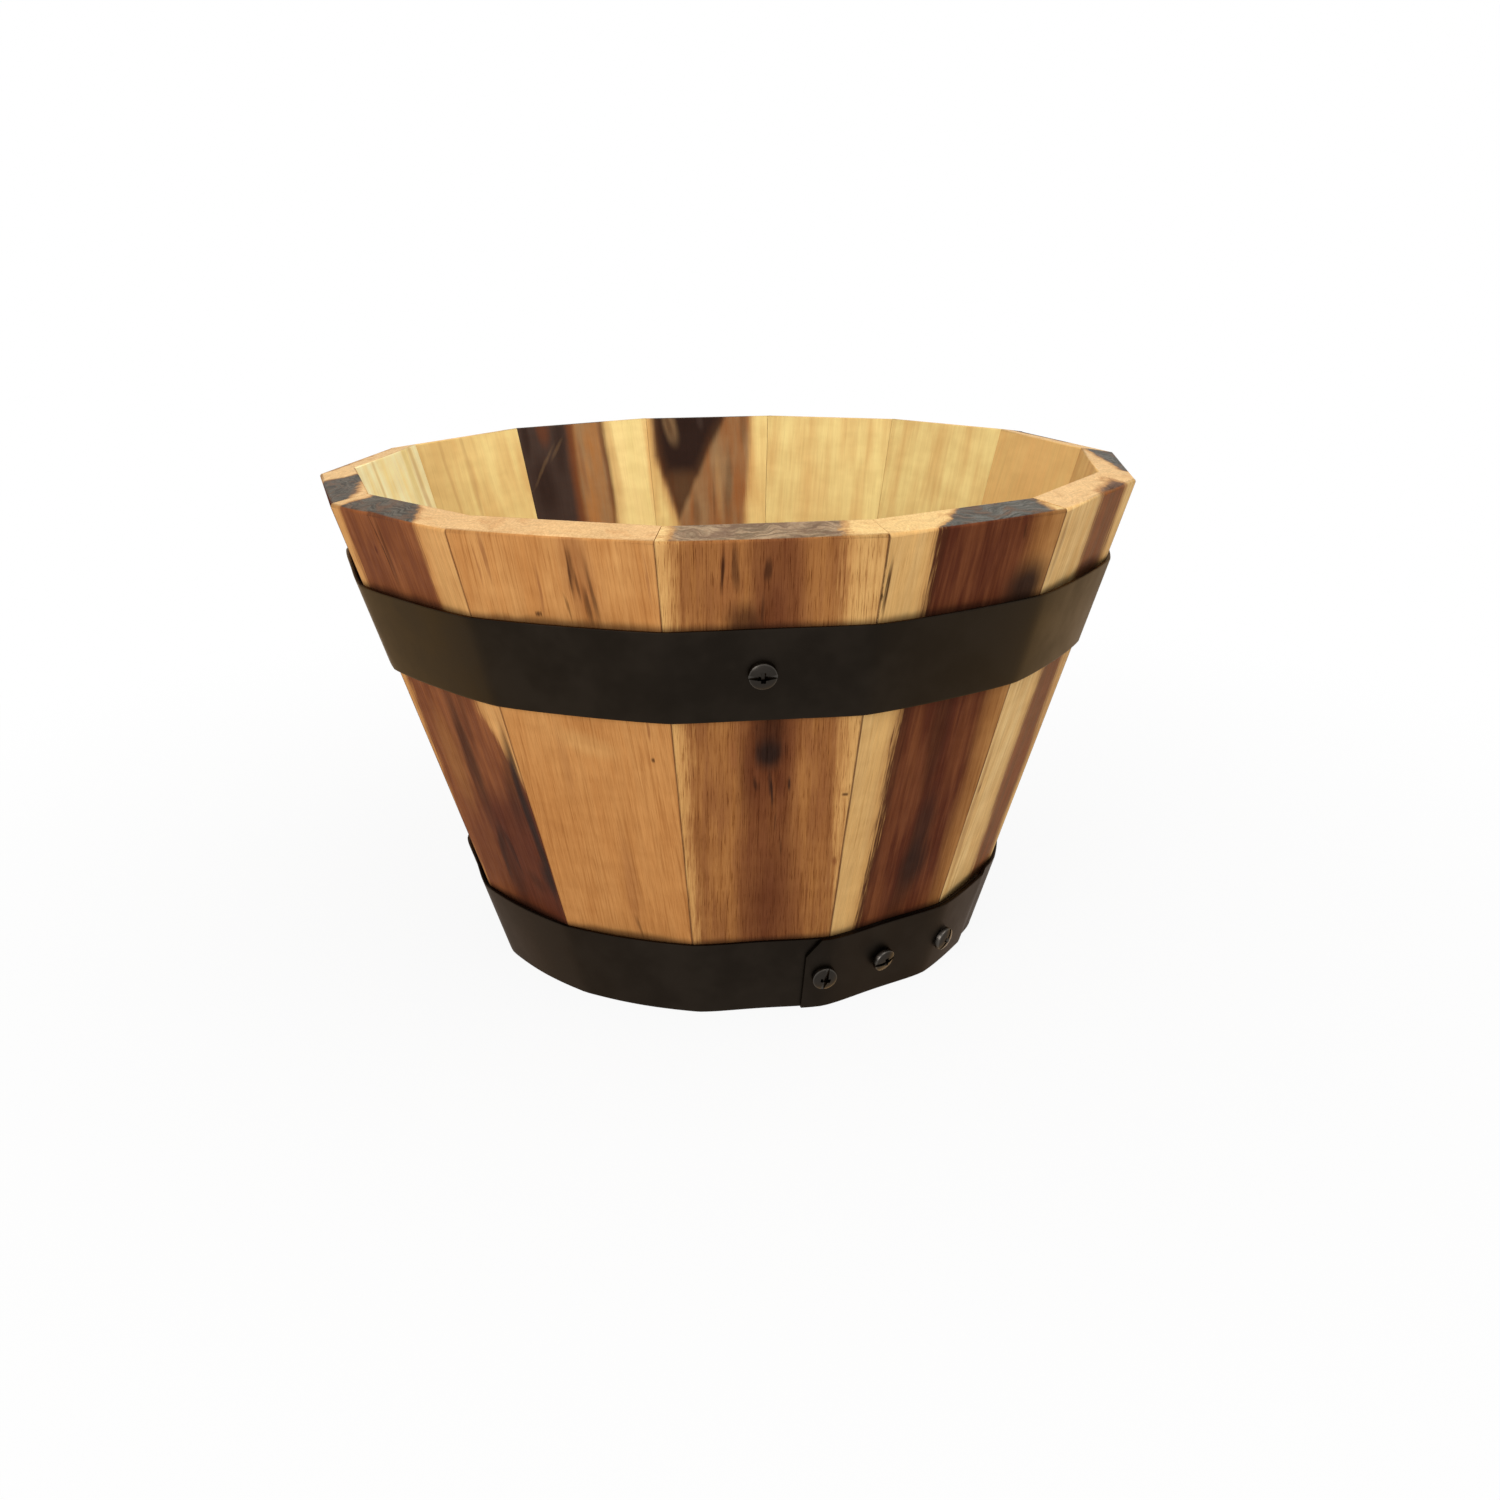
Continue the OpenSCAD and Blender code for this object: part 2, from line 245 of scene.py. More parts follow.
def drawn_out(points, by):
    """A solid, as a new bmesh, drawn out from a closed outline"""
    bm = bmesh.new()
    outline = bm.faces.new([bm.verts.new(point) for point in points])
    translated(bm, bmesh.ops.extrude_face_region(bm, geom=[outline]), by)
    return bm


def face_outwards(bm):
    bmesh.ops.recalc_face_normals(bm, faces=bm.faces)


def cut_off(bm, point, outwards):
    """Cuts off what lies outwards of a plane"""
    whole = bm.verts[:] + bm.edges[:] + bm.faces[:]
    bmesh.ops.bisect_plane(bm, geom=whole, plane_co=point, plane_no=outwards, clear_outer=True)


def close_cut(bm):
    """Closes the hole that a cut has left"""
    bmesh.ops.contextual_create(bm, geom=[edge for edge in bm.edges if edge.is_boundary])


def bevel_edges(bm, edges, width, segments):
    bmesh.ops.bevel(
        bm, geom=edges, offset=width, offset_type="OFFSET", segments=segments,
        profile=0.5, affect="EDGES", clamp_overlap=True, material=-1,
    )


def break_arrises(bm, width):
    """Rounds every sharp edge a little"""
    limit = math.radians(SHARP_ANGLE)
    sharp = [edge for edge in bm.edges if edge.is_manifold and edge.calc_face_angle(0) > limit]
    bevel_edges(bm, sharp, width, ARRIS_STEPS)


def smooth_small_faces(bm, flat_area):
    """Shades the small faces smooth and leaves faces larger than this area flat"""
    for face in bm.faces:
        face.smooth = face.calc_area() < flat_area


def smooth_by_angle(bm, degrees):
    """Shades a mesh smooth, except across edges sharper than this"""
    for face in bm.faces:
        face.smooth = True
    for edge in bm.edges:
        edge.smooth = edge.is_manifold and edge.calc_face_angle(0) < math.radians(degrees)


def carved(name, bm, cutters):
    """The mesh less its cutters, as a new bmesh"""
    body = new_object(name, bm)
    for cutter in cutters:
        cut = body.modifiers.new("cut", "BOOLEAN")
        cut.operation = "DIFFERENCE"
        cut.solver = "EXACT"
        cut.object = cutter
    result = bmesh.new()
    result.from_object(body, bpy.context.evaluated_depsgraph_get())
    bmesh.ops.remove_doubles(result, verts=result.verts, dist=MERGE_REACH)
    face_outwards(result)
    for spent in [body, *cutters]:
        bpy.data.objects.remove(spent)
    return result


def add_rod(bm, segments, radius, length, matrix):
    bmesh.ops.create_cone(
        bm, cap_ends=True, segments=segments, radius1=radius, radius2=radius, depth=length,
        matrix=matrix,
    )


def drill(place, radius, length):
    """An upright rod about a place, to drill a hole with"""
    bm = bmesh.new()
    add_rod(bm, DRILL_SIDES, radius, length, Matrix.Translation(place))
    return new_object("drill", bm)


def hand_over(name, bm, material, node):
    """Finishes a piece: its material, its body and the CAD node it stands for"""
    piece = new_object(name, bm)
    piece.data.materials.append(material)
    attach(piece, "root")
    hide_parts(node)


# ---- Shader helpers ----

class Painter:
    """Adds nodes to a material or a world and joins them up"""

    def __init__(self, owner, shader="Principled BSDF"):
        owner.use_nodes = True
        self.owner = owner
        self.tree = owner.node_tree
        self.shader = self.tree.nodes[shader]

    def plug(self, socket, value):
        if isinstance(value, bpy.types.NodeSocket):
            self.tree.links.new(value, socket)
        else:
            socket.default_value = value

    def dress(self, node, values):
        """Gives a node's inputs these values, by name"""
        for name, value in values.items():
            self.plug(node.inputs[name], value)

    def add(self, kind, *values, **settings):
        """A new node with these settings, and these values on its first inputs"""
        node = self.tree.nodes.new(kind)
        for name, value in settings.items():
            setattr(node, name, value)
        for socket, value in zip(node.inputs, values):
            self.plug(socket, value)
        return node

    def maths(self, operation, *values):
        return self.add("ShaderNodeMath", *values, operation=operation).outputs[0]

    def plus(self, one, other):
        return self.maths("ADD", one, other)

    def minus(self, one, other):
        return self.maths("SUBTRACT", one, other)

    def times(self, one, other):
        return self.maths("MULTIPLY", one, other)

    def vector(self, operation, *values):
        return self.add("ShaderNodeVectorMath", *values, operation=operation).outputs["Vector"]

    def measure(self, operation, *values):
        """A vector operation that gives one number"""
        return self.add("ShaderNodeVectorMath", *values, operation=operation).outputs["Value"]

    def joined(self, *values):
        """A vector from its X, Y and Z"""
        return self.add("ShaderNodeCombineXYZ", *values).outputs[0]

    def along(self, axis, vector):
        """One axis of a vector"""
        return self.add("ShaderNodeSeparateXYZ", vector).outputs[axis]

    def fade(self, value, low, high, start=0.0, end=1.0):
        """Runs smoothly from one number to another while the value goes from low to high"""
        given = (value, low, high, start, end)
        return self.add("ShaderNodeMapRange", *given, interpolation_type="SMOOTHSTEP").outputs[0]

    def mix(self, share, base, over, blend="MIX"):
        node = self.add("ShaderNodeMix", data_type="RGBA", blend_type=blend)
        self.plug(node.inputs["Factor"], share)
        self.plug(node.inputs[6], base)
        self.plug(node.inputs[7], over)
        return node.outputs[2]

    def noise(self, point, stretch, detail, roughness):
        """Noise from 0 to 1 whose grains measure stretch along x, y and z"""
        shrunk = self.vector("MULTIPLY", point, tuple(1 / length for length in stretch))
        node = self.add("ShaderNodeTexNoise", shrunk)
        self.dress(node, {"Scale": 1, "Detail": detail, "Roughness": roughness})
        return node.outputs["Fac"]

    def place(self, location, rotation, unit):
        """Object coordinates, counted in this unit from a place that is turned by this rotation"""
        source = self.add("ShaderNodeTexCoord").outputs["Object"]
        given = (source, location, rotation, (unit, unit, unit))
        return self.add("ShaderNodeMapping", *given, vector_type="TEXTURE").outputs[0]

    def bump(self, height, strength, distance):
        node = self.add("ShaderNodeBump")
        self.dress(node, {"Strength": strength, "Distance": distance, "Height": height})
        self.plug(self.shader.inputs["Normal"], node.outputs[0])


# ---- Looks of the wood ----
# A look's places are in mm on one stave: sideways from its middle, to the right as seen from outside,
# and height above the ground.

# An edge runs from one such place to another and has its wood on the right-hand side; through tells how
# far it drifts sideways between the outer and the inner face.
Edge = namedtuple("Edge", "start end through", defaults=(0,))
# A skin is the wood down to this depth below the outer face; that depth grows by its slope to the right
Skin = namedtuple("Skin", "depth slope")
# A patch is tinted wood inside several edges, so many mm soft along its border
Patch = namedtuple("Patch", "tint edges soft strength", defaults=(2.0, 1.0))
# The look of one piece of wood. Its heart lies inside edges, less its islands of sapwood. A spot is a
# soft ellipse: its tint, its two tips, its width to each side of the line between them and its strength;
# inner spots are on the inner face. Pores and streaks tell how strongly those show, soft how wide the
# change from sap to heart is, wander how far its edges stray, border how wide the dark seam just inside
# the heart is, and gain how bright the long grain is.
Look = namedtuple(
    "Look",
    "sap sap_other heart heart_other end_sap end_heart edges islands patches spots inner_spots "
    "pores streaks soft wander border gain",
    defaults=(None, None, "biscuit", "slate", (), (), (), (), (), 0.35, 0.3, 1.0, 1.5, 0.0, 1.0),
)
# Height of the rim in mm
RIM = RIM_HEIGHT / MM


def rising(y_foot, y_rim, through=0):
    """Edge up a stave, with the wood on its right"""
    return Edge((y_foot, 0), (y_rim, RIM), through)


def falling(y_foot, y_rim, through=0):
    """Edge down a stave, with the wood on its left"""
    return Edge((y_rim, RIM), (y_foot, 0), through)


LOOKS = [
    Look("honey", "amber", "mahogany", "umber", edges=[rising(-13, -13), Skin(12.5, -0.2)]),
    Look(
        "honey", "amber", "chestnut", "russet", end_sap="peach", soft=1.4, gain=1.04,
        edges=[rising(-22, -25.5, 1)],
        islands=[[rising(15.5, 14, -12), Edge((25, 85), (15.5, 104))]],
        patches=[Patch("mahogany", [rising(-9, -3), Edge((-30, 62), (30, 82))], 14, 0.88)],
        spots=[
            ("walnut", (-13, 104), (-13, 60), 7, 0.5), ("umber", (-6.8, 170), (-5.6, 139), 1.1, 0.55),
            ("umber", (-3, 116), (-3, 58), 4, 0.8), ("umber", (5, 120), (3, 84), 3, 0.35),
            ("ebony", (0.5, 65), (-5.5, 34), 2.0, 0.7), ("ebony", (0, 65), (5, 40), 1.6, 0.55),
            ("umber", (0, 60), (-1, 24), 5, 0.55), ("ebony", (24.8, 106), (20.5, 56), 3.0, 0.95),
            ("ebony", (24, 84), (19, 28), 2.6, 0.9), ("umber", (21, 98), (14, 60), 4.0, 0.55),
            ("ebony", (19, 54), (18.5, 38), 3.6, 0.75), ("umber", (8, 46), (16, 38), 4.0, 0.55),
            ("mahogany", (18, 44), (15, 20), 7, 0.6),
            ("mahogany", (-12.8, 155.8), (-13.2, 152), 1.4, 0.9),
            # The thin umber line below follows the crack: painted shade inside it
            ("umber", (-9.6, 168), (-6.6, 143), 0.35, 0.95),
        ],
    ),
    Look(
        "amber", "toffee", end_sap="peach", pores=0.4,
        # The toffee patch darkens the lower part of the stave: painted shade, standing in for less light
        # from below
        patches=[Patch("toffee", [Edge((-30, 100), (30, 100))], 60, 0.6)],
        spots=[
            ("chestnut", (7, 176), (8, 136), 6, 0.55), ("umber", (4.9, 164), (4.5, 147), 0.8, 0.8),
            ("umber", (5.5, 158), (6.6, 146), 0.6, 0.6), ("umber", (9.8, 161), (10.2, 139), 1.0, 0.6),
            ("umber", (7.5, 153), (8.6, 139), 0.9, 0.65), ("umber", (1.5, 150), (3, 140), 0.5, 0.5),
            ("chestnut", (-21.5, 168), (-21, 150), 0.6, 0.6),
            ("chestnut", (-24, 165), (-23.4, 148), 0.4, 0.5),
            ("chestnut", (-5.2, 158), (-6, 140), 0.7, 0.6),
            ("umber", (-7.2, 143.5), (-7.2, 141.5), 0.6, 0.8),
            ("chestnut", (27, 165), (28, 146), 0.5, 0.5), ("chestnut", (4.5, 72), (3.5, 26), 3.2, 0.35),
            ("umber", (3.4, 38), (4.8, 27), 0.8, 0.4), ("nutmeg", (-10, 108), (-10, 78), 1.6, 0.3),
            ("umber", (20.8, 98.8), (20.8, 96.8), 0.6, 0.8),
            ("chestnut", (20.5, 112), (20.8, 104), 0.5, 0.6), ("honey", (-12, 104), (10, 98), 5, 0.5),
        ],
    ),
    Look(
        "gold", "honey", "walnut", "nutmeg", "vanilla", "ash", pores=1.3, streaks=0.45, soft=2.4,
        edges=[rising(-19, -25.5), falling(22, 20)],
        patches=[Patch("russet", [rising(-8, -6), falling(10, 8)], 6, 0.77)],
        spots=[
            ("chestnut", (-12, 174), (-12, 138), 3, 0.6), ("mahogany", (0, 156), (0, 136), 4, 0.4),
            ("umber", (-12.6, 164), (-12.8, 150), 0.8, 0.85),
            ("umber", (-9.3, 166), (-9.3, 150), 0.7, 0.6), ("umber", (-2, 161), (-2, 153), 1.3, 0.75),
            ("umber", (-2.6, 151), (-3, 139), 0.7, 0.6), ("umber", (-8, 149), (-7, 134), 5.5, 0.75),
            ("mahogany", (1, 116), (1, 80), 9, 0.5), ("umber", (1, 118), (1, 97), 5.0, 0.8),
            ("ebony", (1.2, 106), (1.2, 92.5), 4.6, 1.0), ("mahogany", (-6, 106), (-5, 76), 4, 0.4),
            ("ebony", (1.1, 94), (1.1, 79), 0.8, 0.9), ("umber", (-2.8, 92), (-2.8, 86), 0.9, 0.85),
            ("ebony", (7.6, 91.5), (7.6, 85.5), 1.0, 0.9), ("mahogany", (4.3, 94), (4.3, 83), 2.4, 0.5),
            ("umber", (2.8, 79), (2.8, 71), 0.4, 0.7), ("chestnut", (-9.5, 106), (-8.5, 92), 1.4, 0.5),
            ("mahogany", (2, 66), (1, 20), 6, 0.4), ("umber", (5.2, 70), (5.4, 60), 0.4, 0.5),
            ("umber", (23.7, 84.4), (23.7, 83.0), 1.1, 0.8),
            ("chestnut", (21.2, 61), (21.3, 57), 1.0, 0.7),
            ("chestnut", (18, 112), (17, 50), 2.5, 0.35),
        ],
    ),
    Look(
        "gold", "wheat", "mahogany", "russet", "vanilla", "pewter", streaks=0.15, soft=1.8, border=1.6,
        gain=1.08,
        edges=[rising(-12.3, -14, 16), falling(21.5, 25.5, 5)],
        patches=[Patch("walnut", [rising(18, 20)], 7, 0.8)],
        spots=[
            ("umber", (3, 122), (4, 70), 4.4, 0.55), ("chestnut", (-6, 116), (-4, 74), 3.2, 0.4),
            ("chestnut", (13, 116), (12, 70), 3.6, 0.4), ("chestnut", (-6, 50), (-6, 24), 4, 0.4),
            ("chestnut", (16, 46), (14, 26), 3, 0.35), ("ebony", (7, 80), (5.5, 46), 4.2, 0.65),
            ("ebony", (6.8, 62), (5.5, 35), 6.4, 0.85), ("umber", (5, 48), (1, 20), 5, 0.55),
            ("ebony", (23.5, 154), (22, 132), 9.5, 0.95), ("umber", (17, 164), (17.4, 158), 0.7, 0.6),
            # The thin umber line below follows the crack: painted shade inside it
            ("umber", (-30.2, 160), (-29.4, 140), 0.7, 0.9),
        ],
    ),
    Look(
        "gold", "vanilla", "plum", "chestnut", "biscuit", "mocha", streaks=0.15, soft=2.4, gain=1.13,
        edges=[rising(4, 0), falling(19, 20.5), Skin(1.7, 0.18)],
        spots=[
            # This umber band just above the upper strap is painted shadow of the gap behind the strap
            ("umber", (-4, 141.5), (22, 141.5), 3.0, 0.7),
            ("umber", (-21.2, 74), (-21.2, 70), 1.2, 0.6), ("walnut", (-23, 100), (-19, 30), 2.2, 0.5),
            ("nutmeg", (-27, 168), (-25, 140), 2.0, 0.5), ("toffee", (25.5, 130), (23.5, 60), 4.5, 0.4),
        ],
    ),
    Look(
        "honey", "straw", "umber", "chestnut", end_heart="pewter",
        edges=[rising(-15, -15), Skin(5.4, 0.2)],
    ),
    Look(
        "straw", "gold", "chestnut", "plum", end_heart="pewter",
        edges=[rising(-10, -6, 6), Skin(3.0, 0.05)],
    ),
    Look(
        "straw", "lemon", "russet", "umber", end_heart="pewter", gain=0.95,
        edges=[falling(8, 4, -9), Skin(3.6, -0.05)],
    ),
    Look(
        "straw", "lemon", "chestnut", "walnut", end_heart="ash", gain=0.97,
        edges=[rising(6, 11, 8), Skin(4.2, 0.06)],
        spots=[("umber", (16, 110), (16, 70), 1.4, 0.7)],
    ),
    Look(
        "straw", "lemon", "hazel", "nutmeg", end_heart="slate", wander=1.2, soft=1.6,
        edges=[Edge((24.5, RIM), (23, 149)), Edge((24, 152), (15, 124)), rising(-3, -19)],
        patches=[
            Patch("umber", [
                Edge((23.8, RIM), (22.3, 149)), Edge((23.2, 152), (14.5, 125)),
                Edge((11.5, 127), (-8, RIM)),
            ], 3, 0.8),
            Patch("ebony", [
                Edge((23, RIM), (21.5, 149)), Edge((22.5, 152), (12, 124)),
                Edge((11, 130), (-7, RIM)), Edge((30, 142), (-30, 142)),
            ], 8),
        ],
        inner_spots=[
            ("hazel", (18.5, 172), (14.5, 152), 3.6, 0.6),
            ("umber", (18.5, 168), (15.2, 155), 1.5, 0.5), ("char", (4, 168), (2, 158), 2.0, 0.5),
            ("umber", (-15.5, 172), (-15, 150), 2.0, 0.3), ("umber", (-9, 154), (-8, 118), 2.0, 0.4),
            ("umber", (-2, 140), (-3, 118), 0.8, 0.3), ("umber", (6, 134), (5, 116), 2.4, 0.35),
            ("honey", (-4, 152), (-5.5, 118), 1.6, 0.25),
        ],
    ),
    Look(
        "cream", "lemon", "walnut", "hazel", end_heart="slate", wander=1.2, soft=1.4, border=0.8,
        gain=1.06,
        edges=[rising(-9, -10, 1)],
        patches=[Patch("russet", [rising(5.5, 5)], 4, 0.9), Patch("char", [rising(9, 8.5)], 4.5)],
        inner_spots=[
            ("ebony", (22, 154), (19, 126), 6.5, 0.7), ("ebony", (11.5, 172), (13, 140), 3.0, 0.5),
            ("ebony", (27, 172), (27, 150), 2.0, 0.6), ("russet", (19.5, 172), (18, 155), 3.4, 0.6),
            ("hazel", (14, 158), (27, 139), 0.9, 0.22), ("hazel", (10.5, 160), (17, 150), 0.9, 0.2),
            ("chestnut", (3, 162), (2, 134), 1.6, 0.4), ("toffee", (0.5, 152), (0.5, 136), 1.2, 0.35),
            ("russet", (-7, 172), (-7.5, 120), 1.3, 0.5),
            ("honey", (-11.5, 172), (-12, 120), 2.2, 0.45),
            ("gold", (-28.5, 172), (-27, 120), 2.4, 0.8),
        ],
    ),
    Look(
        # Its gain brightens the wood partly as painted light on the lit inner wall
        "lemon", "straw", end_heart="ash", gain=1.18,
        patches=[Patch("straw", [rising(8, 12)], 16, 0.5)],
        inner_spots=[
            ("honey", (5, 176), (4, 120), 1.6, 0.5), ("honey", (17, 176), (16, 120), 1.2, 0.4),
        ],
    ),
    Look(
        # Its gain brightens the wood partly as painted light on the lit inner wall
        "mist", "lemon", "walnut", "amber", end_heart="ash", gain=1.2,
        edges=[Skin(1.2, 0.03)],
        inner_spots=[
            ("honey", (-21, 180), (-22, 120), 2.4, 0.5), ("lemon", (-15, 180), (-15, 120), 3, 0.6),
            ("wheat", (14, 180), (14, 120), 1.8, 0.4),
        ],
    ),
]


# ---- Painting the wood ----

# Kinds of variation in the wood: the size of their grains through it, across it and along it, in mm, and
# the detail and roughness of their noise
GRAINS = {
    "fibre": ((1.6, 0.55, 11), 3, 0.65),
    "streak": ((2.6, 0.85, 34), 3, 0.6),
    "strand": ((4, 1.5, 26), 3, 0.6),
    "cloud": ((9, 6, 34), 2, 0.5),
    "figure": ((16, 13, 6), 2, 0.5),
    "pore": ((0.8, 0.24, 8), 3, 0.6),
    "bend": ((14, 14, 45), 2, 0.5),
}
# Heights of the straps' upper edges on the staves, in mm
STRAP_TOPS = (28.8, 140.0)
# A narrow spot still reaches this far into the wood, in mm
LEAST_SPOT_DEPTH = 4.0


class WoodPainter(Painter):
    """Paints a piece of wood whose grain runs along z in its own frame, counted in mm"""

    def __init__(self, owner, location, rotation, thickness, lean, seed):
        super().__init__(owner)
        self.thickness = thickness
        self.lean = lean
        self.point = self.place(location, rotation, MM)
        self.grain = self.vector("ADD", self.point, (37.0 * seed, 11.0 * seed, 613.0 * seed))

    def grow(self, wander):
        """The wood's own variation; the inner face, planed after gluing up, shows less of it"""
        for name, grain in GRAINS.items():
            setattr(self, name, self.noise(self.grain, *grain))
        calm = self.fade(self.along("X", self.point), -0.8 * self.thickness, -0.6 * self.thickness, 0.3)
        self.streak = self.times(self.fade(self.streak, 0.50, 0.68), calm)
        self.pore = self.times(self.fade(self.pore, 0.54, 0.68), calm)
        self.strand = self.maths("MULTIPLY_ADD", self.minus(self.strand, 0.5), calm, 0.5)
        self.fibre = self.maths("MULTIPLY_ADD", self.minus(self.fibre, 0.5), calm, 0.5)
        bent = self.times(self.minus(self.bend, 0.5), 4 * wander)
        ragged = self.times(self.minus(self.strand, 0.5), 3.0)
        self.warped = self.vector("ADD", self.point, self.joined(0.0, self.plus(bent, ragged)))

    def upright(self, place):
        """A look's place, its height turned into a distance along the leaning face"""
        return Vector((place[0], place[1] / math.cos(self.lean)))

    def distance(self, edge):
        """How far a point lies inside an edge or under a skin, in mm"""
        if isinstance(edge, Skin):
            inward, offset = Vector((1, edge.slope, 0)), edge.depth
        else:
            start = self.upright(edge.start)
            along = (self.upright(edge.end) - start).normalized()
            inward = Vector((edge.through / self.thickness * along.y, along.y, -along.x))
            offset = -(start.x * inward.y + start.y * inward.z)
        return self.plus(self.measure("DOT_PRODUCT", self.warped, tuple(inward)), offset)

    def inside(self, edges):
        """How far a point lies inside the nearest of several edges, in mm"""
        return reduce(partial(self.maths, "MINIMUM"), map(self.distance, edges))

    def spot(self, start, end, wide, depth):
        """Share of a spot this deep in the wood: 1 in its middle, 0 outside it"""
        start, end = self.upright(start), self.upright(end)
        middle, along = (start + end) / 2, (start - end) / 2
        reach = along.length
        along.normalize()
        offset = self.vector("SUBTRACT", self.warped, (-depth, middle.x, middle.y))
        axes = (
            (0.0, along.x / reach, along.y / reach),
            (0.0, along.y / wide, -along.x / wide),
            (1 / max(LEAST_SPOT_DEPTH, wide), 0.0, 0.0),
        )
        place = self.joined(*(self.measure("DOT_PRODUCT", offset, axis) for axis in axes))
        return self.fade(self.measure("LENGTH", place), 1.2, 0.25)

    def grime_and_shadow(self):
        """Share of the dark smudge on a stave's face just above each strap: partly grime, partly painted
        shadow of the strap's edge and the gap behind it
        """
        height = self.along("Z", self.warped)
        bands = []
        for top in STRAP_TOPS:
            low = top / math.cos(self.lean)
            high = self.plus(low + 1.0, self.times(self.cloud, 3.0))
            near = self.fade(height, high, low - 0.5)
            bands.append(self.times(near, self.fade(height, low - 6, low - 2)))
        near_face = self.fade(self.along("X", self.warped), -3, -1, 0, 0.6)
        return self.times(reduce(self.plus, bands), near_face)

    def joint_line(self, index):
        """Share of the thin dark glue line along both edges of a stave's outer face"""
        spread = math.tan(PLANS[index].half)
        at_foot = face_radius(index, 0) / MM * spread
        half_width = self.maths(
            "MULTIPLY_ADD", self.along("Z", self.point), math.sin(self.lean) * spread, at_foot,
        )
        far = self.minus(half_width, self.maths("ABSOLUTE", self.along("Y", self.point)))
        line = self.times(self.fade(far, 0.5, 0.15), self.fade(self.cloud, 0.35, 0.65, 0.3, 0.75))
        return self.times(line, self.fade(self.along("X", self.point), -1.5, -0.5))

    def end_grain_share(self):
        """1 where the surface faces along the grain, 0 where it faces across it"""
        normal = self.add("ShaderNodeNewGeometry").outputs["Normal"]
        return self.fade(self.maths("ABSOLUTE", self.along("Z", normal)), 0.55, 0.85)

    def tan(self, value):
        """Grey of this brightness, but warmer the darker it is, as wood darkens"""
        channels = [self.maths("POWER", value, power) for power in (1.0, 1.35, 1.65)]
        return self.add("ShaderNodeCombineColor", *channels).outputs[0]

    def blend(self, one, other, low=0.32, high=0.68):
        """Two colours that take turns as the wood's strands and clouds do"""
        both = self.plus(self.times(self.strand, 0.45), self.times(self.cloud, 0.55))
        return self.mix(self.fade(both, low, high), one, other)

    def frayed(self, far, grain, width):
        """The distance inside an edge, frayed by a grain over this width"""
        return self.plus(far, self.times(self.minus(grain, 0.5), width))


def paint_face(wood, look, far):
    """Colour of the long grain"""
    face = wood.blend(colour(look.sap, look.gain), colour(look.sap_other, look.gain))
    if far:
        one, other = (colour(name, look.gain) for name in (look.heart, look.heart_other))
        heart = wood.blend(one, other, 0.38, 0.62)
        if look.border:
            seam = wood.fade(far, 0.5 * look.border, 3 * look.border, 0.6, 0.0)
            heart = wood.mix(seam, heart, colour("umber"))
        frayed = wood.frayed(far, wood.fibre, 4.5 * look.soft)
        face = wood.mix(wood.fade(frayed, -2 - 1.5 * look.soft, 0, 0, 0.5), face, colour("toffee"))
        face = wood.mix(wood.fade(frayed, -look.soft, look.soft), face, heart)
    for patch in look.patches:
        share = wood.fade(wood.inside(patch.edges), -patch.soft / 2, patch.soft / 2)
        face = wood.mix(wood.times(share, patch.strength), face, colour(patch.tint))
    for spots, depth in ((look.spots, 0.0), (look.inner_spots, wood.thickness)):
        for tint, start, end, wide, strength in spots:
            share = wood.times(wood.spot(start, end, wide, depth), strength)
            face = wood.mix(share, face, colour(tint))
    tone = wood.fade(wood.fibre, 0.25, 0.75, 0.93, 1.07)
    tone = wood.times(tone, wood.fade(wood.strand, 0.3, 0.7, 0.94, 1.05))
    tone = wood.times(tone, wood.fade(wood.figure, 0.3, 0.7, 0.96, 1.035))
    tone = wood.minus(tone, wood.times(wood.streak, 0.5 * look.streaks))
    tone = wood.minus(tone, wood.times(wood.pore, 0.4 * look.pores))
    return wood.mix(1.0, face, wood.tan(tone), "MULTIPLY")


def paint_end(wood, look, far):
    """Colour of the end grain"""
    bend = wood.joined(wood.times(wood.noise(wood.grain, (14, 11, 60), 2, 0.5), 16.0))
    curved = wood.vector("ADD", wood.grain, bend)
    ring = wood.fade(wood.noise(curved, (1.1, 9, 60), 3, 0.6), 0.34, 0.66)
    cloud = wood.noise(curved, (4, 9, 60), 3, 0.6)
    end = wood.mix(ring, colour(look.end_sap, 0.9), colour(look.end_sap, 1.05))
    end = wood.mix(wood.fade(cloud, 0.52, 0.72, 0, 0.35), end, colour("toffee"))
    if far:
        frayed = wood.frayed(far, cloud, 7.0)
        grey = wood.mix(ring, colour(look.end_heart, 0.58), colour(look.end_heart, 1.25))
        grey = wood.mix(wood.fade(cloud, 0.46, 0.66, 0, 0.7), grey, colour("mocha"))
        end = wood.mix(wood.fade(frayed, -3.0, 0.0, 0, 0.7), end, colour("walnut"))
        end = wood.mix(wood.fade(frayed, -0.9, 1.3), end, grey)
    dots = wood.noise(wood.grain, (0.6, 0.6, 40), 2, 0.6)
    return wood.mix(1.0, end, wood.tan(wood.fade(dots, 0.3, 0.7, 0.88, 1.08)), "MULTIPLY")


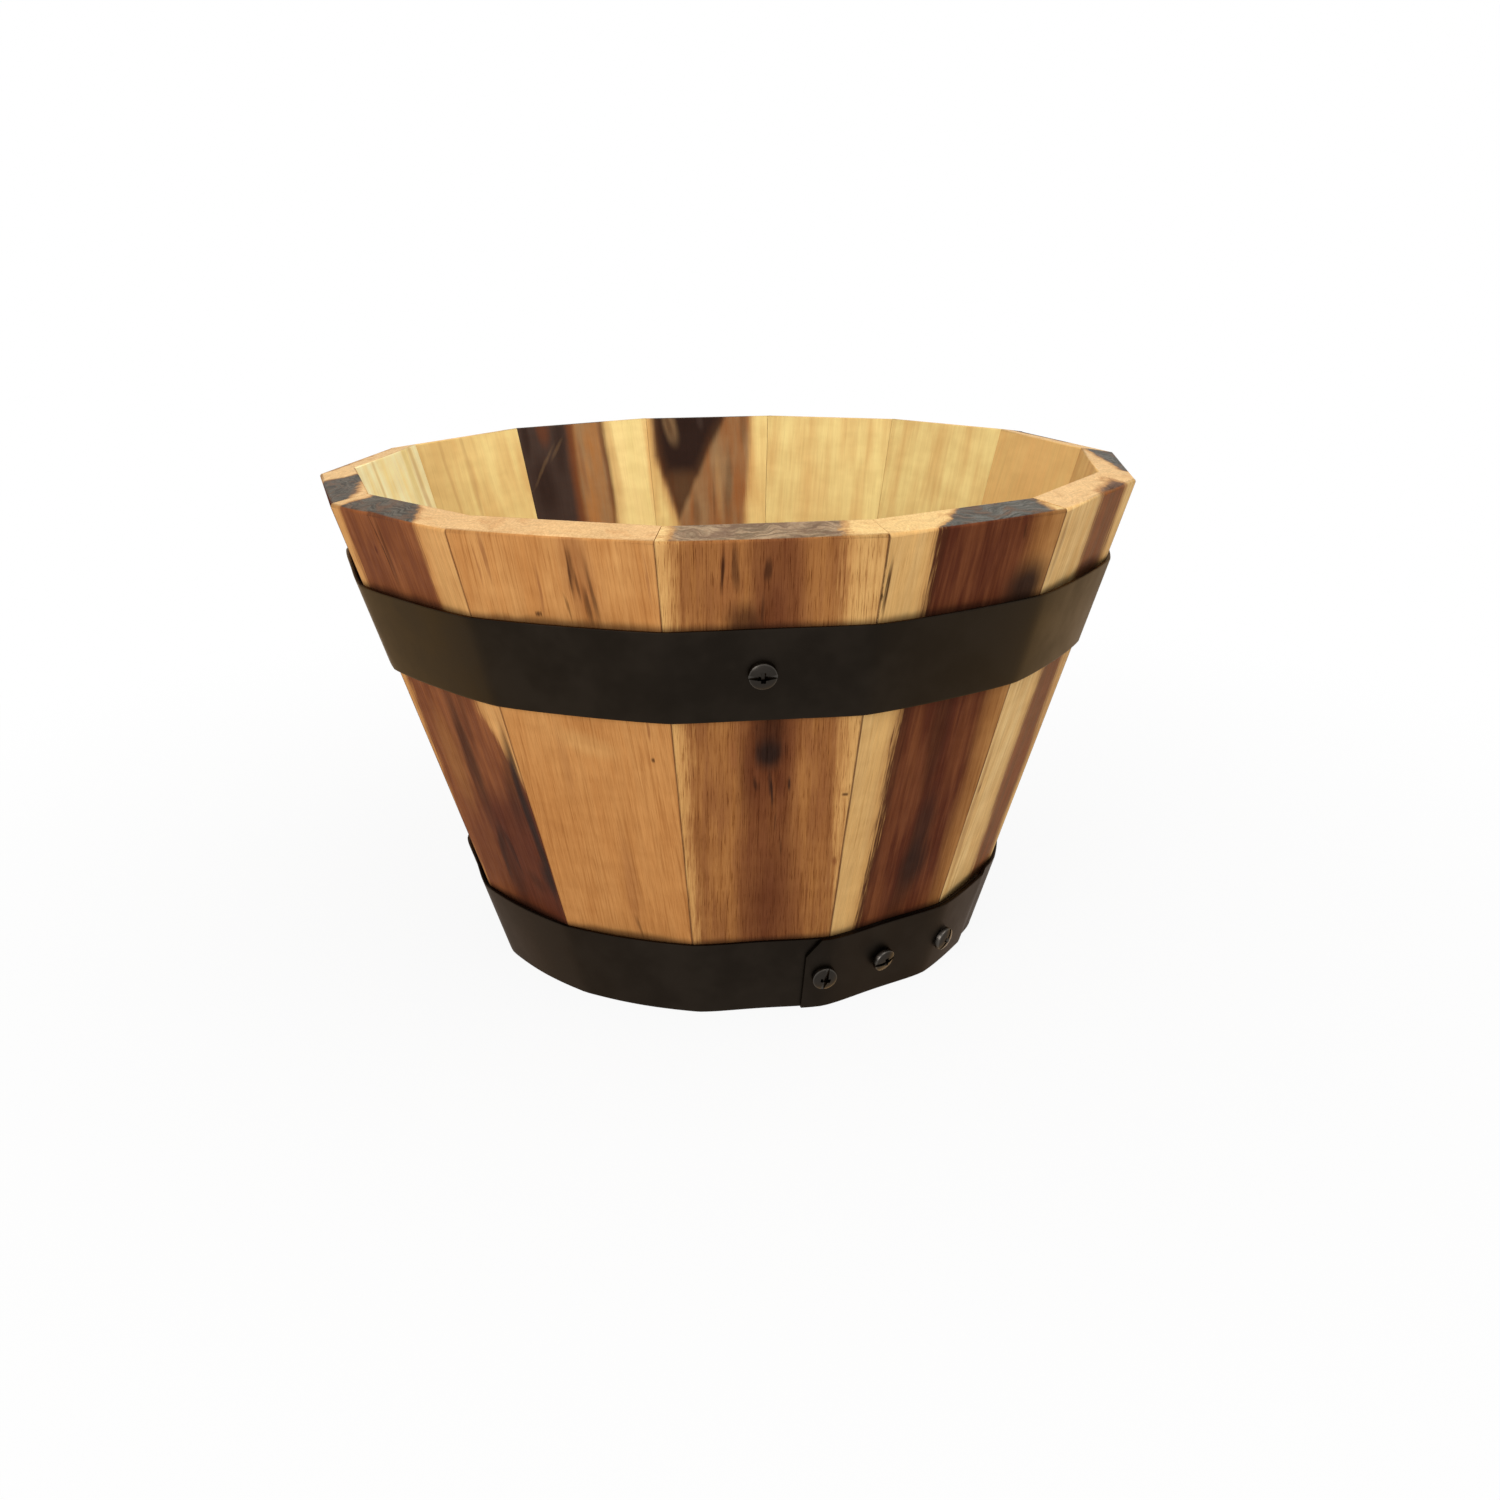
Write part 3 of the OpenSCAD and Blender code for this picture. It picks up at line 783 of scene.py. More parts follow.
def wood_material(name, look, location, rotation, thickness, lean, seed, stave=None):
    """Wood with its sapwood, heartwood, streaks, knots, pores and end grain, as its look gives them"""
    wood = WoodPainter(bpy.data.materials.new(name), location, rotation, thickness, lean, seed)
    wood.grow(look.wander)
    far = wood.inside(look.edges) if look.heart else None
    for island in look.islands:
        far = wood.maths("MINIMUM", far, wood.times(wood.inside(island), -1.0))
    face = paint_face(wood, look, far)
    if stave is not None:
        face = wood.mix(wood.joint_line(stave), face, colour("mahogany"))
        # Grime, and painted shadow, just above the straps
        face = wood.mix(wood.grime_and_shadow(), face, colour("ebony", 0.7))
    end = paint_end(wood, look, far)
    wood.dress(wood.shader, {
        "Base Color": wood.mix(wood.end_grain_share(), face, end),
        "Roughness": wood.fade(wood.fibre, 0.3, 0.7, 0.66, 0.54),
        "Specular IOR Level": 0.03,
    })
    wood.bump(wood.minus(wood.fibre, wood.times(wood.pore, 0.5)), 0.2, 0.2 * MM)
    return wood.owner


# ---- Staves ----

JOINT_GAP = 0.05 * MM
# A joint's faces are those whose normal's sideways part is within this of the joint's own
JOINT_SLACK = 0.01
# Room between the floor's boards and each side of their groove
GROOVE_FIT = 0.15 * MM
# The most that one stave's rim stands below another's
RIM_STEP = 0.18 * MM
# Edges of a joint that lie wholly this close to the rim stay as the rim's rounding left them
RIM_ZONE = 5 * MM
# Faces of a stave or a board larger than this are shaded flat
FLAT_AREA = 60 * MM * MM


def stave_outline(index, rim):
    """Section of a stave along its middle, as distances from the axis and heights"""
    through = sizes().stave_thickness / math.cos(lean_of(index))
    floor_low, floor_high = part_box("floor_board_middle")
    groove_low, groove_high = floor_low.z - GROOVE_FIT, floor_high.z + GROOVE_FIT

    def outer(z):
        return face_radius(index, z), z

    def inner(z):
        return face_radius(index, z) - through, z

    wall = inner((groove_low + groove_high) / 2)[0] + sizes().groove_depth
    groove = [inner(groove_high), (wall, groove_high), (wall, groove_low), inner(groove_low)]
    return [outer(0), outer(rim), inner(rim + RIM_RISE), *groove, inner(0)]


def rim_drop(index):
    """How far a stave's rim stands below the tallest one's, a little different for each"""
    return RIM_STEP * abs(math.sin(7.3 * index + 1))


def planed_stave(index):
    """One stave: its section drawn out sideways, cut along both joints, sanded and turned into place"""
    middle, half = PLANS[index]
    rim = RIM_HEIGHT - rim_drop(index)
    reach = sizes().rim_radius * math.tan(half)
    bm = drawn_out([(r, -reach, z) for r, z in stave_outline(index, rim)], (0, 2 * reach, 0))
    for side in (-1, 1):
        outwards = Vector((-math.sin(half), side * math.cos(half), 0))
        cut_off(bm, -JOINT_GAP / 2 * outwards, outwards)
        close_cut(bm)
    face_outwards(bm)

    def along_rim(edge, height):
        place = (edge.verts[0].co + edge.verts[1].co) / 2
        return abs(place.z - height) < MM / 2 and abs(place.y) < MM

    rounds = ((rim, sizes().rim_round), (rim + RIM_RISE, sizes().inner_rim_round))
    for height, width in rounds:
        bevel_edges(bm, [edge for edge in bm.edges if along_rim(edge, height)], width, RIM_STEPS)
    joints = [face for face in bm.faces if abs(face.normal.y) > math.cos(half) - JOINT_SLACK]
    outline = {edge for face in joints for edge in face.edges}
    zone = RIM_HEIGHT - RIM_ZONE
    arrises = [edge for edge in outline if min(vertex.co.z for vertex in edge.verts) < zone]
    bevel_edges(bm, arrises, sizes().arris, ARRIS_STEPS)
    bmesh.ops.rotate(bm, verts=bm.verts, matrix=Matrix.Rotation(middle, 3, "Z"))
    return bm


# A crack: its stave, its start and end on that stave's face, its width and its depth, in mm, and the
# place of its raggedness in the noise
Crack = namedtuple("Crack", "stave start end width depth seed")
CRACKS = [
    Crack(1, (-6.5, 143), (-9.8, 167), 0.32, 4.0, 3),
    Crack(4, (-29.6, 139), (-30.8, 161), 0.9, 4.0, 8),
    Crack(5, (-2.0, 150), (1.0, 167), 0.22, 3.0, 5),
]
CRACK_STEPS = 24
# Width of a crack's bottom as a share of its mouth
CRACK_BOTTOM = 0.15
CRACK_SWAY = 0.6 * MM


def crack_blade(crack):
    """A thin ragged wedge to cut a crack with, along a stave's outer face"""
    start, end = Vector(crack.start) * MM, Vector(crack.end) * MM
    bm = bmesh.new()
    bmesh.ops.create_cube(bm, size=1)
    tall = [edge for edge in bm.edges if abs(edge.verts[0].co.z - edge.verts[1].co.z) > 0.5]
    bmesh.ops.subdivide_edges(bm, edges=tall, cuts=CRACK_STEPS)
    for vertex in bm.verts:
        share = vertex.co.z + 0.5
        y, z = start.lerp(end, share)
        mouth = vertex.co.x > 0
        ragged = 1 + noise.noise(Vector((crack.seed, 0, 9 * share)))
        belly = 0.12 + math.sin(math.pi * min(1, 1.15 * share)) ** 0.7
        wide = crack.width * MM * (1 if mouth else CRACK_BOTTOM) * belly * ragged
        sway = CRACK_SWAY * noise.noise(Vector((crack.seed + 5, 0, 4 * share)))
        place = Vector((MM if mouth else -crack.depth * MM, y + sway + vertex.co.y * wide, 0))
        vertex.co = on_face(crack.stave, z) @ place
    face_outwards(bm)
    return new_object("crack_blade", bm)


class PLANTER_OT_staves(Operator):
    """Makes the fourteen staves: planed, cut along their joints, sanded at the rim and painted"""
    bl_idname = "planter.staves"
    bl_label = "Add Staves"
    bl_options = {"REGISTER", "UNDO"}

    def execute(self, context):
        for index, look in enumerate(LOOKS):
            name = stave_name(index)
            bm = planed_stave(index)
            blades = [crack_blade(crack) for crack in CRACKS if crack.stave == index]
            if blades:
                bm = carved(name + "_blank", bm, blades)
            smooth_small_faces(bm, FLAT_AREA)
            middle, lean = PLANS[index].middle, lean_of(index)
            foot = Matrix.Rotation(middle, 3, "Z") @ Vector((face_radius(index, 0), 0, 0))
            material = wood_material(
                f"wood_of_{name}", look, foot, (0, lean, middle),
                sizes().stave_thickness / MM, lean, index + 1, stave=index,
            )
            hand_over(f"wooden_{name}", bm, material, name)
        return {"FINISHED"}


# ---- Floor ----

DRAIN_RADIUS = 6 * MM
DRAIN_PITCH = 45 * MM
# Length of a rod that surely goes through a board
THROUGH_BOARD = 100 * MM
FLOOR_ARRIS = 0.5 * MM
DOWEL_FLAT_AREA = 5 * MM * MM
DOWEL_SIDES = 32
BOARD_LOOK = Look(
    "amber", "honey", "walnut", "chestnut", end_heart="ash", pores=0.6,
    edges=[rising(-26, -22), falling(-8, -14)],
)
DOWEL_LOOK = Look("straw", "honey")


def floor_board(node):
    """A board of the floor, cut from the ring's polygon, with its arrises broken and its drain holes"""
    low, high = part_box(node)
    whole_low, whole_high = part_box("floor_board_middle")
    radius = (whole_high.y - whole_low.y) / 2 / math.cos(PLANS[BACK_STAVE].half)
    corners = [plan.middle - plan.half for plan in PLANS]
    ring = [(radius * math.cos(turn), radius * math.sin(turn), low.z) for turn in corners]
    bm = drawn_out(ring, (0, 0, high.z - low.z))
    for x, side in ((low.x, -1), (high.x, 1)):
        cut_off(bm, (x, 0, 0), (side, 0, 0))
        close_cut(bm)
    face_outwards(bm)
    break_arrises(bm, FLOOR_ARRIS)
    drains = (-DRAIN_PITCH, 0, DRAIN_PITCH) if low.x < 0 < high.x else ()
    drills = [drill((0, y, low.z), DRAIN_RADIUS, THROUGH_BOARD) for y in drains]
    return carved(node + "_blank", bm, drills)


def floor_dowels():
    """The four dowels across the joints of the floor, with chamfered ends"""
    low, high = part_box("floor_dowels")
    board_low, board_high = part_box("floor_board_middle")
    radius = (high.z - low.z) / 2
    length = 2 * (high.x - board_high.x)
    lying = Matrix.Rotation(math.pi / 2, 4, "Y")
    bm = bmesh.new()
    for x in (board_low.x, board_high.x):
        for y in (low.y + radius, high.y - radius):
            place = Matrix.Translation((x, y, (low.z + high.z) / 2))
            add_rod(bm, DOWEL_SIDES, radius, length, place @ lying)
    break_arrises(bm, FLOOR_ARRIS)
    return bm


class PLANTER_OT_floor(Operator):
    """Makes the three floor boards with their drain holes, and the dowels between them"""
    bl_idname = "planter.floor"
    bl_label = "Add Floor"
    bl_options = {"REGISTER", "UNDO"}

    def execute(self, context):
        for seed, side in enumerate(("left", "middle", "right"), 31):
            node = f"floor_board_{side}"
            low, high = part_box(node)
            bm = floor_board(node)
            smooth_small_faces(bm, FLAT_AREA)
            material = wood_material(
                f"wood_of_{node}", BOARD_LOOK, ((low.x + high.x) / 2, 0, high.z),
                (-math.pi / 2, -math.pi / 2, 0), (high.z - low.z) / MM, 0, seed,
            )
            hand_over(f"wooden_{node}", bm, material, node)
        bm = floor_dowels()
        smooth_small_faces(bm, DOWEL_FLAT_AREA)
        material = wood_material("wood_of_dowels", DOWEL_LOOK, (0, 0, 0), (0, math.pi / 2, 0), 6, 0, 41)
        hand_over("wooden_dowels", bm, material, "floor_dowels")
        return {"FINISHED"}


# ---- Hoops ----

# A screw of a hoop: its stave, its place sideways and up in mm, the layers of strap under its head, how
# far it is turned about its own axis, and how far it tips to its left and upwards, in degrees
Screw = namedtuple("Screw", "stave sideways height layers turn tip", defaults=((0, 0),))
# A hoop: its screws, those of the lap first, how far in mm it bows out on a stave, on which staves it
# bows out less, how round its bend at the stave joints is, and the tint of its gloss
Hoop = namedtuple("Hoop", "node screws bow less round sheen")

# Room between a strap and the staves, between the two ends of a lap, and round a screw in its hole
HOOP_FIT = 0.1 * MM
LAP_FIT = 0.1 * MM
HOLE_FIT = 0.1 * MM
LAP_END_MARGIN = 6.8 * MM
CLIP_WIDTH = 4.4 * MM
CLIP_HEIGHT = 7 * MM
JOGGLE_CLEAR = 1 * MM
JOGGLE_LENGTH = 6 * MM
STRAP_STEP = 2.2 * MM
# Rows of points across a strap, as shares of its width
STRAP_ROWS = (0, 0.025, 0.5, 0.975, 1)
STRAP_ARRIS = 0.22 * MM
# Angles between faces, in degrees, up to which a strap and a screw are shaded smooth
STRAP_SMOOTH, SCREW_SMOOTH = 32, 30
# Length of a rod that surely goes through a strap
THROUGH_STRAP = 10 * MM
# A strap bows out this little, in mm, where a screw holds it
HELD = 0.15
# The further a strap bows out, the rounder its bends: FREE_ROUND from FREE_BOW on
FREE_ROUND = 0.65
FREE_BOW = 1.5 * MM

HOOPS = [
    Hoop(
        "lower_hoop",
        [
            Screw(3, 20.4, 13.6, 2.1, 78, (0, 6)), Screw(4, -0.7, 14.2, 2.5, 8, (-6, 0)),
            Screw(5, -16.9, 13.3, 2.3, 60, (4, 4)), Screw(10, 1.5, 13.99, 1, 33),
        ],
        # The lower hoop's duller gloss tint is painted shade
        1.7, {3: HELD, 4: HELD, 5: 1.1, 10: HELD, 0: HELD, 13: 0.7}, 0.65, "dull_bronze",
    ),
    Hoop(
        "upper_hoop",
        [
            Screw(10, 26.33, 125.62, 2, 24), Screw(11, -5, 125.62, 2, 71),
            Screw(11, 17, 125.62, 2, 130), Screw(3, -2.0, 126.2, 1, 0, (0, 3)),
        ],
        1.5, {3: HELD, 10: HELD, 11: HELD, 0: 0.6, 13: 0.6}, 0.3, "bronze",
    ),
]
HOOP_FEET = {hoop.node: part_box(hoop.node)[0].z for hoop in HOOPS}


def strap_across():
    """Thickness of the strap measured level"""
    return sizes().strap_thickness / math.cos(corner_lean())


def hoop_middle(hoop):
    return HOOP_FEET[hoop.node] + sizes().strap_width * math.cos(corner_lean()) / 2


def stave_width(index, z):
    return 2 * corner_radius(z) * math.sin(PLANS[index % STAVE_COUNT].half)


def span(hoop, index):
    """How long a hoop's strap is on one stave, along its middle"""
    return stave_width(index, hoop_middle(hoop))


def bow(hoop, index, across, z):
    """How far a hoop stands off a stave's face; across runs from -1 to 1 between the stave's corners"""
    middle = hoop.less.get(index, hoop.bow) * MM
    sagitta = stave_width(index, z) / 4 * math.tan(PLANS[index].half)
    roundness = hoop.round + (FREE_ROUND - hoop.round) * min(1, middle / FREE_BOW)
    shoulder = roundness * sagitta / middle - 1
    return middle * (1 - across ** 2) * (1 + shoulder * across ** 2)


def strap_point(hoop, index, across, z, out):
    """Point of a strap at this level distance outside the faces of the staves"""
    reach = face_radius(index, z) + out
    sideways = across * reach * math.tan(PLANS[index].half)
    place = Vector((reach + bow(hoop, index, across, z), sideways, z))
    return Matrix.Rotation(PLANS[index].middle, 3, "Z") @ place


def lap_end(hoop):
    """Stave and sideways place of the lap's outer end"""
    first = hoop.screws[0]
    return first.stave, first.sideways * MM - LAP_END_MARGIN


def along_strap(hoop, run):
    """Stave, and place across it from -1 to 1, reached this far along a strap from its outer end"""
    index, sideways = lap_end(hoop)
    width = span(hoop, index)
    sideways += run
    while sideways > width / 2:
        index += 1
        following = span(hoop, index)
        sideways -= (width + following) / 2
        width = following
    return index % STAVE_COUNT, 2 * sideways / width


def run_to(hoop, screw):
    """Distance along the strap from its outer end to a screw"""
    index, sideways = lap_end(hoop)
    run = -sideways
    while index % STAVE_COUNT != screw.stave:
        run += (span(hoop, index) + span(hoop, index + 1)) / 2
        index += 1
    return run + screw.sideways * MM


def round_length(hoop):
    return sum(span(hoop, index) for index in range(STAVE_COUNT))


def layer_at(run):
    """1 where the strap lies on its own other end, 0 where it lies on the staves"""
    step = (run - sizes().lap_length - JOGGLE_CLEAR) / JOGGLE_LENGTH
    step = min(1, max(0, step))
    return 1 - step * step * (3 - 2 * step)


def flat_strap(hoop):
    """The strap laid out flat before it is bent: X along it, Y up it and Z through it"""
    length = round_length(hoop) + sizes().lap_length
    width = sizes().strap_width
    gaps = len(STRAP_ROWS) - 1
    bm = bmesh.new()
    bmesh.ops.create_grid(bm, x_segments=round(length / STRAP_STEP), y_segments=gaps, size=0.5)
    for vertex in bm.verts:
        row = STRAP_ROWS[round((vertex.co.y + 0.5) * gaps)]
        vertex.co = ((vertex.co.x + 0.5) * length, row * width, 0)
    cut_off(bm, (0, width - CLIP_HEIGHT, 0), (-CLIP_HEIGHT, CLIP_WIDTH, 0))
    grown = bmesh.ops.extrude_face_region(bm, geom=bm.faces[:])
    translated(bm, grown, (0, 0, sizes().strap_thickness))
    face_outwards(bm)
    break_arrises(bm, STRAP_ARRIS)
    drills = []
    for screw in hoop.screws:
        up = (screw.height * MM - HOOP_FEET[hoop.node]) / math.cos(corner_lean())
        for run in (run_to(hoop, screw), run_to(hoop, screw) + round_length(hoop)):
            if run < length:
                radius = sizes().shank_diameter / 2 + HOLE_FIT
                drills.append(drill((run, up, 0), radius, THROUGH_STRAP))
    return carved(hoop.node + "_blank", bm, drills)


def bent_strap(hoop):
    """The flat strap bent once round the staves, its outer end over its inner end"""
    bm = flat_strap(hoop)
    for vertex in bm.verts:
        run, up, through = vertex.co
        index, across = along_strap(hoop, run)
        z = HOOP_FEET[hoop.node] + up * math.cos(corner_lean())
        out = HOOP_FIT + layer_at(run) * (strap_across() + LAP_FIT)
        out += through / sizes().strap_thickness * strap_across()
        vertex.co = strap_point(hoop, index, across, z, out)
    face_outwards(bm)
    smooth_by_angle(bm, STRAP_SMOOTH)
    return bm


def black_finish(name, tint, roughness, sheen, worn_and_highlight=0.0):
    """Satin black finish on steel, finely dimpled, with a few rubbed places, and rubbed edges painted
    lighter: bare steel and a painted highlight
    """
    coat = Painter(bpy.data.materials.new(name))
    point = coat.place((0, 0, 0), (0, 0, 0), MM)
    cloud = coat.noise(point, (22, 22, 22), 3, 0.6)
    fine = coat.noise(point, (0.7, 0.7, 0.7), 2, 0.5)
    rubbed = coat.fade(coat.noise(point, (1.4, 1.4, 1.4), 4, 0.7), 0.74, 0.8)
    base = coat.mix(coat.fade(cloud, 0.35, 0.65), colour(tint, 0.85), colour(tint, 1.25))
    base = coat.mix(coat.times(rubbed, 0.25), base, colour("slate"))
    wear = coat.add("ShaderNodeAttribute", attribute_name="wear").outputs["Fac"]
    base = coat.mix(coat.times(wear, worn_and_highlight), base, colour("rubbed_steel"))
    coat.dress(coat.shader, {
        "Base Color": base,
        "Roughness": coat.fade(cloud, 0.3, 0.7, roughness, roughness + 0.1),
        "Metallic": 1.0,
        "Specular Tint": colour(sheen),
    })
    coat.bump(fine, 0.12, 0.1 * MM)
    return coat.owner


class PLANTER_OT_hoops(Operator):
    """Makes the two black hoops: a flat strap, clipped, drilled and bent round the staves"""
    bl_idname = "planter.hoops"
    bl_label = "Add Hoops"
    bl_options = {"REGISTER", "UNDO"}

    def execute(self, context):
        for hoop in HOOPS:
            finish = black_finish(f"{hoop.node}_finish", "hoop_black", 0.42, hoop.sheen)
            hand_over(f"steel_{hoop.node}", bent_strap(hoop), finish, hoop.node)
        return {"FINISHED"}


# ---- Screws ----

SHANK_POINT = 3 * MM
HEAD_SIDE = 1.6 * MM
CROWN_STEPS = 8
SPIN_STEPS = 48
# Points of a turned screw closer than this are one point
SPIN_MERGE = 0.002 * MM
# Room under a screw's head
SEAT_FIT = 0.1 * MM
# The finish is painted lighter, as rubbed steel and a painted highlight, this far from the head's upper
# edge
WEAR_HIGHLIGHT_REACH = 0.25 * MM
SCREW_LENGTHS = {"lower_hoop": 20 * MM, "upper_hoop": 12 * MM}
# A wing of the recess: its width and span at the top, the same at its floor, and its depth, in mm
Wing = namedtuple("Wing", "wide span floor_wide floor_span depth")
CROSS = Wing(2.0, 4.8, 0.9, 2.2, 1.6)
SLOT = Wing(1.3, 20, 1.1, 20, 1.2)


def strap_seat(hoop, screw):
    """Matrix that stands a screw on a hoop: +X out of the strap, +Y along it, +Z up it"""
    index, z = screw.stave, screw.height * MM
    out = HOOP_FIT + screw.layers * strap_across() + (screw.layers - 1) * LAP_FIT
    across = screw.sideways * MM / (face_radius(index, z) + out) / math.tan(PLANS[index].half)
    middle = strap_point(hoop, index, across, z, out)
    along = (strap_point(hoop, index, across + 0.05, z, out) - middle).normalized()
    up = strap_point(hoop, index, across, z + MM, out) - middle
    outwards = along.cross(up).normalized()
    turn = Matrix((outwards, along, outwards.cross(along))).transposed().to_4x4()
    left, upwards = (Matrix.Rotation(-math.radians(t), 4, axis) for t, axis in zip(screw.tip, "ZY"))
    return Matrix.Translation(middle + outwards * SEAT_FIT) @ turn @ left @ upwards


def screw_profile(length):
    """Half section of a pan-head screw, as distances from its axis and places along it"""
    head = sizes().head_diameter / 2
    top = sizes().head_height
    shank = sizes().shank_diameter / 2
    dome = top - HEAD_SIDE
    ball = (head ** 2 + dome ** 2) / 2 / dome
    turns = [math.asin(head / ball) * step / CROWN_STEPS for step in range(CROWN_STEPS)]
    crown = [(ball * math.sin(turn), top - ball + ball * math.cos(turn)) for turn in turns]
    side = [
        (head - 0.1 * MM, HEAD_SIDE), (head, HEAD_SIDE - 0.2 * MM),
        (head, 0.15 * MM), (head - 0.15 * MM, 0),
    ]
    return crown + side + [(shank, 0), (shank, SHANK_POINT - length), (0, -length)]


def recess_wing(turn, wing):
    """One tapered wing of the recess in a screw head, to cut it with"""
    bm = bmesh.new()
    bmesh.ops.create_cube(bm, size=MM)
    for vertex in bm.verts:
        deep = vertex.co.z < 0
        vertex.co.x *= wing.floor_wide if deep else wing.wide
        vertex.co.y *= wing.floor_span if deep else wing.span
        vertex.co.z = sizes().head_height + (-wing.depth if deep else wing.depth) * MM
    bmesh.ops.rotate(bm, verts=bm.verts, matrix=Matrix.Rotation(turn, 3, "Z"))
    return new_object("recess", bm)


def pan_screw(length, turn):
    """A pan-head screw about +Z, with a cross recess and a slot, its rubbed edge marked for bare steel
    and a painted highlight
    """
    bm = bmesh.new()
    points = [bm.verts.new((r, 0, z)) for r, z in screw_profile(length)]
    edges = [bm.edges.new(pair) for pair in zip(points, points[1:])]
    bmesh.ops.spin(
        bm, geom=points + edges, cent=(0, 0, 0), axis=(0, 0, 1), angle=2 * math.pi,
        steps=SPIN_STEPS, use_merge=True,
    )
    bmesh.ops.remove_doubles(bm, verts=bm.verts, dist=SPIN_MERGE)
    face_outwards(bm)
    wings = ((turn, CROSS), (turn + math.pi / 2, CROSS), (turn, SLOT))
    bm = carved("screw_blank", bm, [recess_wing(*wing) for wing in wings])
    smooth_by_angle(bm, SCREW_SMOOTH)
    wear = bm.verts.layers.float.new("wear")
    for vertex in bm.verts:
        out = vertex.co.xy.length - sizes().head_diameter / 2
        vertex[wear] = Vector((out, vertex.co.z - HEAD_SIDE)).length < WEAR_HIGHLIGHT_REACH
    return bm


class PLANTER_OT_screws(Operator):
    """Makes the pan-head screws of the two hoops, each turned as it was driven in"""
    bl_idname = "planter.screws"
    bl_label = "Add Screws"
    bl_options = {"REGISTER", "UNDO"}

    def execute(self, context):
        finish = black_finish("screw_finish", "screw_black", 0.24, "bronze", 0.14)
        upright = Matrix.Rotation(math.pi / 2, 4, "Y")
        for hoop in HOOPS:
            node = hoop.node + "_screws"
            bm = bmesh.new()
            for screw in hoop.screws:
                shape = pan_screw(SCREW_LENGTHS[hoop.node], math.radians(screw.turn))
                blank = new_object("screw", shape)
                blank.data.transform(strap_seat(hoop, screw) @ upright)
                bm.from_mesh(blank.data)
                bpy.data.objects.remove(blank)
            hand_over(f"steel_{node}", bm, finish, node)
        return {"FINISHED"}


# ---- Stage ----

CAMERA_PLACE = (-0.00015, -0.49663, 0.23735)
CAMERA_TURN = math.radians(-0.813)
CAMERA_DIP = math.radians(19.80)
CAMERA_ROLL = math.radians(-0.790)
# A lamp: its place, the point that it faces and its diameter, in metres
Lamp = namedtuple("Lamp", "place aim diameter")
LAMPS = {
    "softbox": Lamp((0.25, -0.35, 1.1), (0, 0, 0.1), 0.9),
    "fill": Lamp((-0.5, -0.9, 0.45), (0, 0, 0.08), 0.6),
}
PAPER_WHITE = (0.62, 0.61, 0.6, 1)
# Up to GLOW_NEAR from the middle of the floor only NEAR_GLOW of it glows, and beyond GLOW_FAR all of it
GLOW_NEAR, GLOW_FAR = 0.12, 0.5
NEAR_GLOW = 0.92


def add_camera(lens):
    """The camera, in front of the planter and looking down into it"""
    view = bpy.data.cameras.new("camera")
    view.lens = lens
    view.clip_start = 10 * MM
    made = linked("camera", view)
    made.matrix_world = (
        Matrix.Translation(CAMERA_PLACE) @ Matrix.Rotation(CAMERA_TURN, 4, "Z")
        @ Matrix.Rotation(math.pi / 2 - CAMERA_DIP, 4, "X") @ Matrix.Rotation(CAMERA_ROLL, 4, "Z")
    )
    bpy.context.scene.camera = made


def add_lamp(name, lamp, power):
    """A round soft lamp"""
    light = bpy.data.lights.new(name, "AREA")
    light.shape = "DISK"
    light.size = lamp.diameter
    light.energy = power
    made = linked(name, light)
    made.location = lamp.place
    facing = Vector(lamp.aim) - Vector(lamp.place)
    made.rotation_euler = facing.to_track_quat("-Z", "Y").to_euler()


def seen_directly(painter):
    """1 for what the camera sees, also in gloss or through glass, and 0 for what lights the planter"""
    path = painter.add("ShaderNodeLightPath").outputs
    seen = painter.maths("MAXIMUM", path["Is Camera Ray"], path["Is Glossy Ray"])
    return painter.maths("MAXIMUM", seen, path["Is Transmission Ray"])


def add_sky(strength):
    """An even white sky, which lights the planter at this strength"""
    world = bpy.data.worlds.new("sky")
    bpy.context.scene.world = world
    sky = Painter(world, "Background")
    glow = sky.fade(seen_directly(sky), 0, 1, strength, 1.0)
    sky.dress(sky.shader, {"Color": (1, 1, 1, 1), "Strength": glow})


